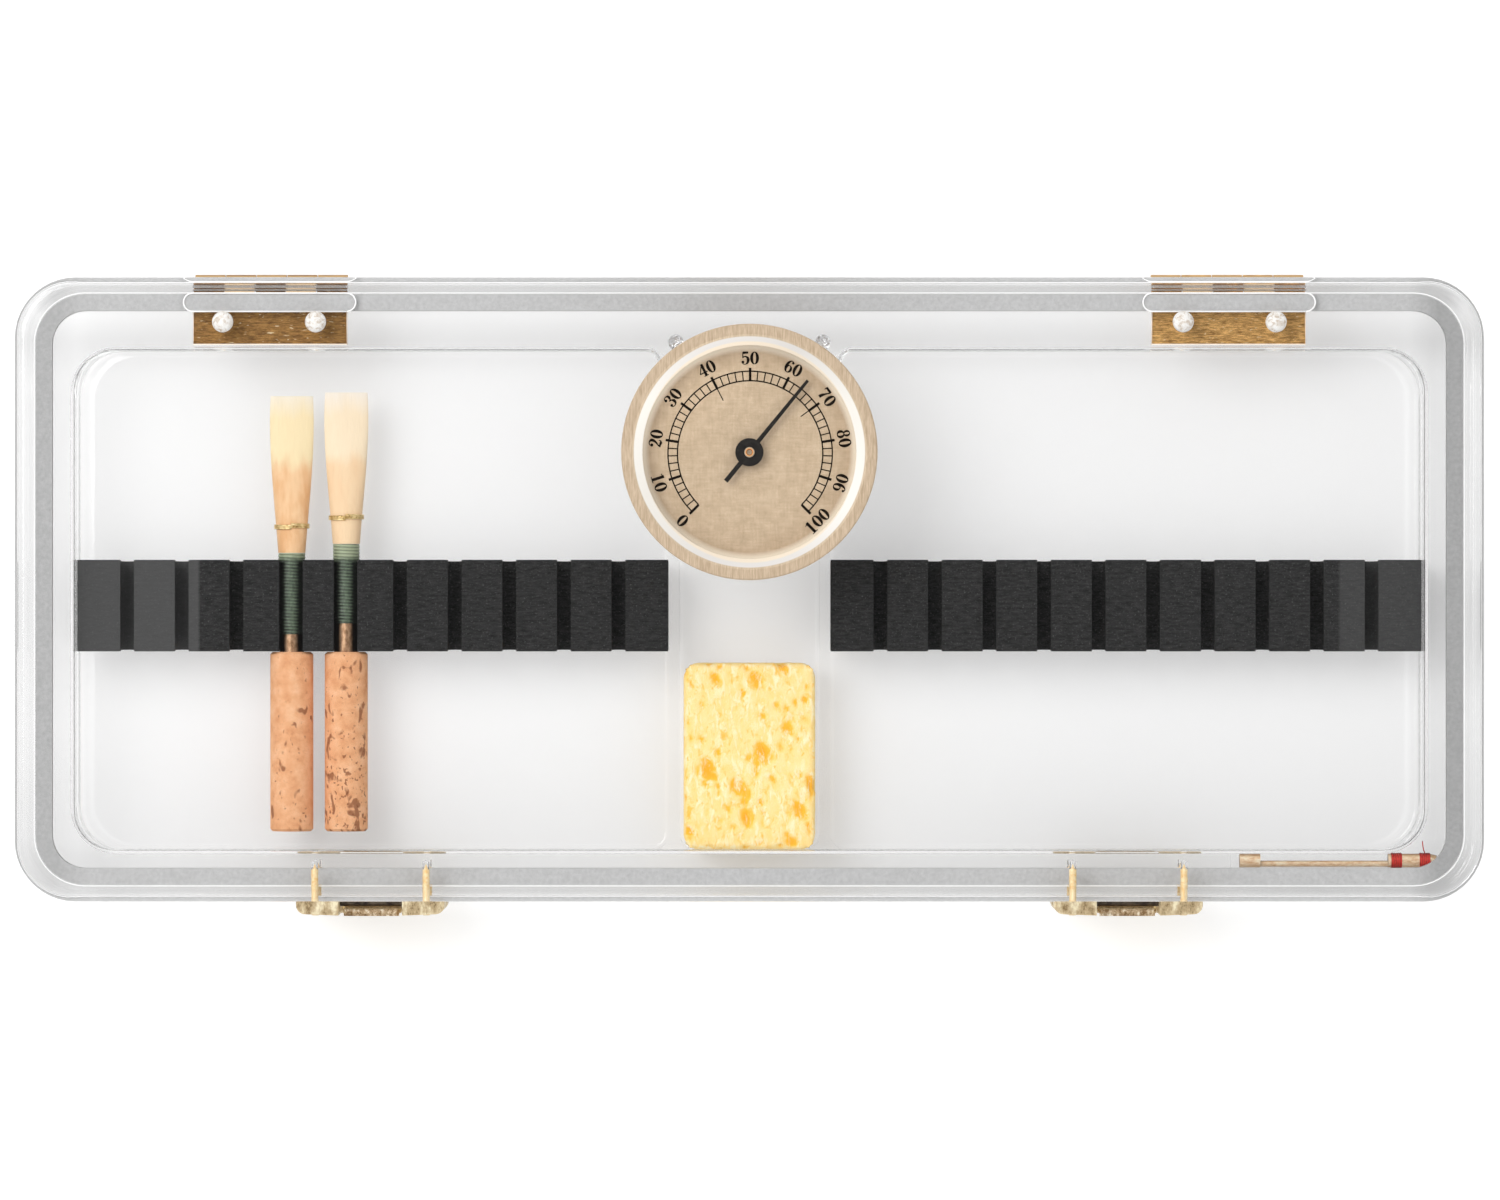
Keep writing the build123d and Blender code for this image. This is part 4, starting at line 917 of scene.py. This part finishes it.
def catmull(a, b, c, d, t):
    """The value at t between b and c, on a smooth curve through all four."""
    return 0.5 * (2 * b + (c - a) * t + (2 * a - 5 * b + 4 * c - d) * t ** 2
                  + (3 * b - a - 3 * c + d) * t ** 3)


def line(*points):
    return ribbon(points)


def curve(*knots, steps=6):
    """A smooth stroke through (x, y, width) knots."""
    points = []
    for i in range(len(knots) - 1):
        four = knots[max(i - 1, 0)], knots[i], knots[i + 1], knots[min(i + 2, len(knots) - 1)]
        for step in range(steps):
            points.append(tuple(catmull(*values, step / steps) for values in zip(*four)))
    return ribbon(points + [knots[-1]])


def ball(x, y, radius, sides=14):
    rim = [(x + radius * math.cos(angle), y + radius * math.sin(angle)) for angle in turns(sides)]
    return [(x, y), *rim], [(0, 1 + side, 1 + (side + 1) % sides) for side in range(sides)]


def oval(x, y, rx, ry, thick, thin=HAIR, sides=28):
    """A closed stroke, thick at its sides and thin at its top and bottom."""
    points = []
    for angle in turns(sides):
        width = thin + (thick - thin) * abs(math.cos(angle)) ** 1.5
        points.append((x + rx * math.cos(angle), y + ry * math.sin(angle), width))
    return ribbon(points, closed=True)


# Numerals in a box one high: thick stems, thin joins, ball ends
NUMERALS = {
    "0": [oval(0.3, 0.5, 0.2, 0.45, 0.21)],
    "1": [
        line((0.3, 0.98, STEM), (0.3, 0.02, STEM)),
        curve((0.3, 0.93, HAIR), (0.2, 0.86, HAIR), (0.08, 0.84, HAIR)),
        line((0.08, 0.03, HAIR), (0.52, 0.03, HAIR)),
    ],
    "2": [
        ball(0.14, 0.73, 0.11),
        curve((0.09, 0.76, HAIR), (0.16, 0.91, HAIR), (0.3, 0.96, 0.09), (0.45, 0.86, 0.18),
              (0.47, 0.7, 0.2), (0.38, 0.48, 0.14), (0.2, 0.26, 0.09), (0.1, 0.1, HAIR)),
        curve((0.08, 0.1, 0.09), (0.22, 0.12, 0.15), (0.38, 0.08, 0.19), (0.5, 0.12, 0.09),
              (0.53, 0.26, 0.06)),
    ],
    "3": [
        ball(0.14, 0.77, 0.1),
        ball(0.13, 0.22, 0.1),
        curve((0.09, 0.8, HAIR), (0.17, 0.93, HAIR), (0.3, 0.97, HAIR), (0.44, 0.88, 0.15),
              (0.45, 0.73, 0.18), (0.38, 0.58, 0.1), (0.25, 0.53, 0.06)),
        curve((0.25, 0.53, 0.06), (0.41, 0.47, 0.1), (0.49, 0.29, 0.2), (0.44, 0.11, 0.14),
              (0.29, 0.03, HAIR), (0.14, 0.07, HAIR), (0.08, 0.2, HAIR)),
    ],
    "4": [
        line((0.4, 0.98, 0.18), (0.4, 0.02, 0.18)),
        line((0.4, 0.97, HAIR), (0.04, 0.3, HAIR)),
        line((0.03, 0.3, 0.09), (0.58, 0.3, 0.09)),
        line((0.24, 0.03, HAIR), (0.56, 0.03, HAIR)),
    ],
    "5": [
        line((0.13, 0.9, 0.19), (0.49, 0.92, 0.16)),
        line((0.13, 0.97, HAIR), (0.12, 0.5, HAIR)),
        ball(0.13, 0.2, 0.1),
        curve((0.12, 0.52, HAIR), (0.22, 0.6, 0.09), (0.34, 0.61, 0.11), (0.46, 0.5, 0.18),
              (0.49, 0.32, 0.2), (0.43, 0.12, 0.14), (0.29, 0.03, HAIR), (0.14, 0.07, HAIR),
              (0.08, 0.18, HAIR)),
    ],
    "6": [
        oval(0.32, 0.3, 0.18, 0.26, 0.17),
        ball(0.46, 0.84, 0.09),
        curve((0.12, 0.26, 0.16), (0.12, 0.5, 0.19), (0.18, 0.78, 0.16), (0.32, 0.95, HAIR),
              (0.48, 0.9, HAIR)),
    ],
    "7": [
        line((0.08, 0.9, 0.18), (0.53, 0.9, 0.18)),
        line((0.08, 0.97, HAIR), (0.08, 0.7, HAIR)),
        curve((0.52, 0.88, HAIR), (0.38, 0.55, 0.12), (0.28, 0.25, 0.2), (0.26, 0.03, 0.21)),
    ],
    "8": [oval(0.3, 0.74, 0.15, 0.22, 0.15), oval(0.3, 0.27, 0.19, 0.25, 0.19)],
}
NUMERALS["9"] = [([(0.6 - x, 1.0 - y) for x, y in verts], faces) for verts, faces in NUMERALS["6"]]


def on_dial(value, radius):
    """A place on the dial, from the middle of the printed scale."""
    angle = math.radians((value - SCALE_MIDDLE) * SCALE_DEGREES)
    return radius * math.sin(angle), radius * math.cos(angle)


def dial_arc(radius):
    values = [SCALE_END * step / ARC_STEPS for step in range(ARC_STEPS + 1)]
    return ribbon([(*on_dial(value, radius), ARC_WIDTH) for value in values])


def dial_tick(value, inner, outer, width):
    return line((*on_dial(value, inner), width), (*on_dial(value, outer), width))


def dial_number(value):
    """The strokes of a number, with its feet toward the arbor, or away from it in the lower half."""
    text = str(value)
    degrees = (value - SCALE_MIDDLE) * SCALE_DEGREES
    turn = Matrix.Rotation(-math.radians(degrees) + (math.pi if abs(degrees) > 90 else 0), 2)
    x, y = on_dial(value, NUMERAL_RADIUS)
    parts = []
    for place, digit in enumerate(text):
        start = (place - len(text) / 2) * NUMERAL_ADVANCE
        for verts, faces in NUMERALS[digit]:
            moved = []
            for u, v in verts:
                across = start + u * NUMERAL_HEIGHT * NUMERAL_STRETCH
                local = turn @ Vector((across, (v - 0.5) * NUMERAL_HEIGHT))
                moved.append((x + local.x, y + local.y))
            parts.append((moved, faces))
    return parts


def dial_print():
    """The scale, its ticks and its numerals, a hair above the dial."""
    outer, inner = ARC_RADII
    parts = [dial_arc(outer), dial_arc(inner)]
    for value in range(0, SCALE_END + 1, 2):
        if value % 10:
            parts.append(dial_tick(value, inner, outer, TICK_WIDTH))
        else:
            parts.append(dial_tick(value, inner, TICK_TOP, LONG_TICK_WIDTH))
    for value, reach in BAND_MARKS:
        parts.append(dial_tick(value, reach, inner, MARK_WIDTH))
    for value in range(0, SCALE_END + 1, 10):
        parts += dial_number(value)
    verts, faces = joined(parts)
    centre_x, centre_y = arbor_x + PRINT_OFFSET[0], arbor_y + PRINT_OFFSET[1]
    verts = [(centre_x + x, centre_y + y, dial_high.z + HAIR_GAP) for x, y in verts]
    dress(mesh_object("dial_print", verts, faces, smooth=False), "lid", print_ink())


# Windings and wires


def winding(name, start, end, profile, pitch, depth, axis, sides=36):
    """A wound sleeve along an axis: its surface rises and falls with each turn of thread.

    profile gives the radius at a share of the length; axis is "X" or "Y".
    """
    length = (end - start).length
    rows = max(8, int(length / pitch * ROWS_A_TURN))
    verts, grooves = [], []
    for row in range(rows + 1):
        share = row / rows
        for angle in turns(sides):
            phase = length * share / pitch - angle / (2 * math.pi)
            groove = 1 - math.sqrt(abs(math.sin(math.pi * phase)))
            radius = profile(share) - depth * groove
            grooves.append(groove)
            across, up = radius * math.cos(angle), radius * math.sin(angle)
            if axis == "Y":
                verts.append((start.x + across, start.y + length * share, start.z + up))
            else:
                verts.append((start.x + length * share, start.y + across, start.z + up))
    faces = closed_sleeve(rows + 1, sides)
    if axis == "Y":
        faces = [face[:1] + face[:0:-1] for face in faces]
    piece = mesh_object(name, verts, faces)
    piece.data.attributes.new("groove", "FLOAT", "POINT").data.foreach_set("value", grooves)
    return piece


def reed_threads():
    green = green_thread(slot_end_y)
    for number in (1, 2):
        low, high = box_mm(f"reed_{number}_thread")
        x, z = (low.x + high.x) / 2, (low.z + high.z) / 2
        outer = (high.x - low.x) / 2

        def taper(share, outer=outer):
            return outer - TAPER_DEPTH * max(0.0, 1 - share / TAPER_SHARE)

        piece = winding(f"reed_{number}_winding", Vector((x, low.y, z)), Vector((x, high.y, z)),
                        taper, THREAD_PITCH, THREAD_DEPTH, "Y")
        dress(piece, "base", green, (f"reed_{number}_thread",))


def reed_wires():
    """Three turns of wire round each cane, and the twisted end that ties them."""
    for number in (1, 2):
        low, high = box_mm(f"reed_{number}_wire")
        middle = (low + high) / 2
        pitch = (high.y - low.y) / WIRE_TURNS
        radius = pitch / 2
        half_width, half_depth = (high.x - low.x) / 2 - radius, (high.z - low.z) / 2 - radius
        points = []
        for step in range(WIRE_TURNS * WIRE_STEPS + 1):
            turn = step / WIRE_STEPS
            angle = 2 * math.pi * turn + math.pi / 2
            points.append(Vector((middle.x + half_width * math.cos(angle),
                                  low.y + pitch * (WIRE_START + WIRE_ADVANCE * turn),
                                  middle.z + half_depth * math.sin(angle))))
        end = points[-1]
        for step in range(1, TWIST_STEPS + 1):
            share = step / TWIST_STEPS
            rise = TWIST_BEND * math.sin(math.pi * share)
            points.append(end + Vector((TWIST_LENGTH * share, -TWIST_BEND * share, rise)))
        piece = tube(f"reed_{number}_wound_wire", points, radius * WIRE_FILL)
        dress(piece, "base", wire_brass, (f"reed_{number}_wire",))


def tool_bindings():
    """Two red bindings on the small tool, and the loose end of the outer one."""
    red = red_thread()
    low, high = box_mm("tool_binding")
    radius = (high.y - low.y) / 2
    y, z = (low.y + high.y) / 2, (low.z + high.z) / 2
    for label, x in (("inner", low.x), ("outer", high.x - BINDING_WIDTH)):
        start, end = Vector((x, y, z)), Vector((x + BINDING_WIDTH, y, z))
        piece = winding(f"tool_binding_{label}", start, end, lambda share: radius,
                        BINDING_PITCH, BINDING_DEPTH, "X", sides=28)
        dress(piece, "base", red, ("tool_binding",))
    start = Vector((high.x - BINDING_WIDTH / 2, high.y, z + THREAD_END_LIFT))
    drift, back = THREAD_END_DRIFT
    points = []
    for step in range(THREAD_END_STEPS + 1):
        share = step / THREAD_END_STEPS
        rise = THREAD_END_WAVE * math.sin(THREAD_END_BEND * share)
        points.append(start + Vector((drift * share + back * share * share, THREAD_END_LENGTH * share, rise)))
    piece = tube("tool_thread_end", points, THREAD_END_RADIUS, sides=6)
    dress(piece, "base", red, ("tool_binding",))


# Sponge


def pores(place, density, radius, rarity):
    """Depth, from 0 to 1, of the pore that holds a place; only the cells above a rarity have one."""
    distances, cells = noise.voronoi(place * density)
    if noise.noise(cells[0] * CELL_SPREAD) < rarity:
        return 0.0
    return max(0.0, 1 - distances[0] / radius) ** PORE_WALLS


def sponge_depth(place):
    """A few large pores, many small ones and a ragged skin."""
    bent = place + PORE_BEND * Vector(noise.noise_vector(place * PORE_BEND_SCALE))
    slanted = Vector((bent.x + PORE_SLANT * bent.y, PORE_STRETCH * bent.y, bent.z))
    large = pores(slanted, *LARGE_PORES)
    small = SMALL_PORE_DEPTH * pores(slanted, *SMALL_PORES)
    skin = noise.fractal(Vector((place.x, SKIN_STRETCH * place.y, place.z)), *SKIN_FRACTAL)
    return max(large, small), skin


def rounded(place, low, high):
    """Move a place on a block's skin onto its round corners and edges."""
    middle = (low + high) / 2
    half = (high - low) / 2
    p = place.copy()
    corner_x = min(max(p.x, low.x + SPONGE_CORNER), high.x - SPONGE_CORNER)
    corner_y = min(max(p.y, low.y + SPONGE_CORNER), high.y - SPONGE_CORNER)
    off = Vector((p.x - corner_x, p.y - corner_y))
    if off.length > SPONGE_CORNER:
        off = off.normalized() * SPONGE_CORNER
        p.x, p.y = corner_x + off.x, corner_y + off.y
    rim_x = max(0.0, abs(p.x - middle.x) - (half.x - SPONGE_EDGE))
    rim_y = max(0.0, abs(p.y - middle.y) - (half.y - SPONGE_EDGE))
    up = max(0.0, abs(p.z - middle.z) - (half.z - SPONGE_EDGE))
    rim = math.hypot(rim_x, rim_y)
    reach = math.hypot(rim, up)
    if rim > 0 and up > 0 and reach > SPONGE_EDGE:
        pull = 1 - SPONGE_EDGE / reach
        p.x -= math.copysign(rim_x * pull, p.x - middle.x)
        p.y -= math.copysign(rim_y * pull, p.y - middle.y)
        p.z -= math.copysign(up * pull, p.z - middle.z)
    return p


def cut_block(low, high, step):
    """A block as a bmesh, cut across all three axes about every step."""
    size = high - low
    bm = bmesh.new()
    bmesh.ops.create_cube(bm, size=1.0)
    bmesh.ops.scale(bm, vec=size, verts=bm.verts)
    bmesh.ops.translate(bm, vec=(low + high) / 2, verts=bm.verts)
    for axis in range(3):
        count = int(size[axis] / step)
        for k in range(1, count):
            point, normal = Vector(), Vector()
            point[axis] = low[axis] + size[axis] * k / count
            normal[axis] = 1
            whole = bm.verts[:] + bm.edges[:] + bm.faces[:]
            bmesh.ops.bisect_plane(bm, geom=whole, plane_co=point, plane_no=normal)
    return bm


def sponge_block():
    """An open-cell sponge: a rounded block whose skin sinks into pores."""
    noise.seed_set(SPONGE_SEED)
    low, high = box_mm("sponge")
    bm = cut_block(low, high, SPONGE_STEP)
    tint = bm.verts.layers.float.new("pore")
    for vert in bm.verts:
        vert.co = rounded(vert.co, low, high)
    bm.normal_update()
    middle, inner = (low + high) / 2, (high - low) / 2 - Vector((SPONGE_CORNER,) * 3)
    for vert in bm.verts:
        hollow, skin = sponge_depth(vert.co)
        off = vert.co - middle
        if abs(off.x) > inner.x and abs(off.y) > inner.y:
            hollow *= CORNER_HOLLOW
        # painted shade: the color deepens in the pores, less on the raised skin
        vert[tint] = min(1.0, max(0.0, TINT_EVEN + TINT_OF_PORES * hollow - TINT_OF_SKIN * skin))
        vert.co -= vert.normal * (SKIN_INSET + PORE_DEPTH * hollow + SKIN_RAGGEDNESS * (1 - skin))
    mesh = bpy.data.meshes.new("sponge_foam")
    bm.to_mesh(mesh)
    bm.free()
    mesh.transform(Matrix.Scale(MM, 4))
    for polygon in mesh.polygons:
        polygon.use_smooth = True
    piece = collection_link(bpy.data.objects.new("sponge_foam", mesh))
    dress(piece, "base", sponge_foam(), ("sponge",))


# Bores, outlines and nails in the acrylic


def frosted_dome(x, y, z):
    """The domed end of a drilled hole, closed below."""
    verts = []
    for ring in range(DOME_RINGS):
        angle = math.pi / 2 * ring / DOME_RINGS
        reach, up = BORE_RADIUS * math.cos(angle), BORE_DOME * math.sin(angle)
        for turn in turns(DOME_SIDES):
            verts.append((x + reach * math.cos(turn), y + reach * math.sin(turn), z + up))
    verts.append((x, y, z + BORE_DOME))
    faces = sleeve(DOME_RINGS, DOME_SIDES)
    rim, top = (DOME_RINGS - 1) * DOME_SIDES, len(verts) - 1
    faces += [(rim + side, rim + (side + 1) % DOME_SIDES, top) for side in range(DOME_SIDES)]
    faces.append(tuple(reversed(range(DOME_SIDES))))
    return verts, faces


def bore_ends():
    screws_low, screws_high = box_mm("hinge_screws_lid")
    y = (screws_low.y + screws_high.y) / 2
    domes = []
    for side in ("left", "right"):
        low, high = box_mm("hinge_lid_leaf_" + side)
        middle = (low.x + high.x) / 2
        for x in (middle - BORE_OFFSET, middle + BORE_OFFSET):
            domes.append(frosted_dome(x, y, screws_high.z + HAIR_GAP))
    dress(mesh_object("hinge_bore_ends", *joined(domes)), "lid", frosted_bore())


def arc_points(x, y, z, radius, start, sweep, steps):
    """Points on a level arc, from a start through a sweep in degrees."""
    points = []
    for step in range(steps + 1):
        angle = math.radians(start + sweep * step / steps)
        points.append(Vector((x + radius * math.cos(angle), y + radius * math.sin(angle), z)))
    return points


def pad_outline(centre_x, z):
    """A closed path round a pad with half-round ends."""
    radius = PAD_WIDTH / 2
    straight = PAD_LENGTH / 2 - radius
    right_end = arc_points(centre_x + straight, PAD_Y, z, radius, -90, 180, 16)
    left_end = arc_points(centre_x - straight, PAD_Y, z, radius, 90, 180, 16)
    return right_end + left_end + [right_end[0] - Vector((LOOP_GAP, 0, 0))]


def groove_outline(low, high, z):
    """A closed path round the seal's groove."""
    points = []
    for quarter, (x, y) in enumerate(((high.x, high.y), (low.x, high.y), (low.x, low.y), (high.x, low.y))):
        centre_x = x - math.copysign(SEAL_CORNER, x)
        centre_y = y - math.copysign(SEAL_CORNER, y)
        points += arc_points(centre_x, centre_y, z, SEAL_CORNER, 90 * quarter, 90, 12)
    return points + [points[0] - Vector((0, LOOP_GAP, 0))]


def lid_outlines():
    """Painted highlights: glowing lines round the seal's groove, and round each hinge's pad and seat."""
    white = lit_edge("lit_edge_white", (0.95, 0.95, 0.95))
    cream = lit_edge("lit_edge_cream", (1.0, 0.88, 0.76))
    seal_low, seal_high = box_mm("lid_seal")
    gap = Vector((OUTLINE_LIFT, OUTLINE_LIFT, 0))
    path = groove_outline(seal_low - gap, seal_high + gap, SEAL_TOP)
    dress(tube("seal_groove_outline", path, GROOVE_LINE, 6), "lid", white)
    pad_front = PAD_Y - PAD_WIDTH / 2
    for side in ("left", "right"):
        low, high = box_mm("hinge_lid_leaf_" + side)
        path = pad_outline((low.x + high.x) / 2, seal_high.z + OUTLINE_LIFT)
        dress(tube("seal_pad_outline_" + side, path, PAD_LINE, 8), "lid", white)
        corners = ((low.x, pad_front), (low.x, low.y), (high.x, low.y), (high.x, pad_front))
        path = [Vector((x, y, LEAF_TOP + OUTLINE_LIFT)) for x, y in corners]
        dress(tube("hinge_seat_outline_" + side, path, SEAT_LINE, 8), "lid", cream)


def nail_shank(index, radius, x, y, z, length):
    """A rough nail that runs to the back and ends in a point."""
    verts = []
    for row in range(NAIL_ROWS + 1):
        share = row / NAIL_ROWS
        point = max(0.0, (share - (1 - NAIL_POINT)) / NAIL_POINT)
        for angle in turns(NAIL_SIDES):
            spot = Vector((share * NAIL_RIPPLES + NAIL_APART * index,
                           math.cos(angle) * NAIL_RIPPLES_ACROSS, math.sin(angle)))
            reach = radius + NAIL_SWELL + NAIL_ROUGHNESS * noise.noise(spot)
            reach *= 1 - (1 - NAIL_TIP) * point
            verts.append((x + reach * math.cos(angle), y + length * share, z + reach * math.sin(angle)))
    return verts, closed_sleeve(NAIL_ROWS + 1, NAIL_SIDES)


def nail_shanks(node, body):
    low, high = box_mm(node)
    radius = (high.z - low.z) / 2
    left, right = low.x + radius, high.x - radius
    for index, x in enumerate((left, left + NAIL_SPACING, right - NAIL_SPACING, right)):
        verts, faces = nail_shank(index, radius, x, low.y + HAIR_GAP, (low.z + high.z) / 2, high.y - low.y)
        piece = mesh_object(f"{node}_shank_{index + 1}", verts, faces)
        dress(piece, body, shank_brass, (node,))


# Floor, light and camera


def studio_floor():
    half = FLOOR_SIZE / 2
    corners = [(-half, -half), (half, -half), (half, half), (-half, half)]
    floor = mesh_object("studio_floor", [(x, y, -FLOOR_DROP) for x, y in corners], [(0, 1, 2, 3)])
    floor.data.materials.append(floor_white())


def studio_light():
    """A pale world that the camera sees as white, and a soft lamp at the back left."""
    world = bpy.data.worlds.new("studio_world")
    bpy.context.scene.world = world
    world.use_nodes = True
    sky = Nodes(world.node_tree)
    background = sky.tree.nodes["Background"].inputs
    up = sky.split(sky.node("ShaderNodeNewGeometry").outputs["Position"])["Z"]
    levels = sky.ramp(up, [(height, (level,) * 3) for height, level in SKY_LEVELS])
    seen = sky.node("ShaderNodeLightPath").outputs["Is Camera Ray"]
    sky.link(sky.mix(seen, levels, (1, 1, 1)), background["Color"])
    background["Strength"].default_value = SKY_STRENGTH

    lamp = bpy.data.lights.new("softbox_left", "AREA")
    lamp.energy = LAMP_POWER
    lamp.size = LAMP_SIZE * MM
    lamp.shape = "SQUARE"
    softbox = collection_link(bpy.data.objects.new("softbox_left", lamp))
    softbox.location = Vector(LAMP_PLACE) * MM
    softbox.rotation_euler = (-softbox.location).to_track_quat("-Z", "Y").to_euler()


def photo_camera():
    data = bpy.data.cameras.new("photo_camera")
    data.sensor_width = SENSOR
    data.lens = PARTING_SCALE * CAMERA_HEIGHT * SENSOR / IMAGE_WIDTH
    data.clip_end = VIEW_END * MM
    camera = collection_link(bpy.data.objects.new("photo_camera", data))
    camera.location = (CAMERA_X * MM, CAMERA_Y * MM, (PARTING_Z + CAMERA_HEIGHT) * MM)
    bpy.context.scene.camera = camera


dial_print()
reed_threads()
reed_wires()
sponge_block()
bore_ends()
lid_outlines()
nail_shanks("catch_nails_lid", "lid")
nail_shanks("catch_nails_base", "base")
tool_bindings()
studio_floor()
studio_light()
photo_camera()
bpy.context.scene.view_settings.view_transform = "Standard"
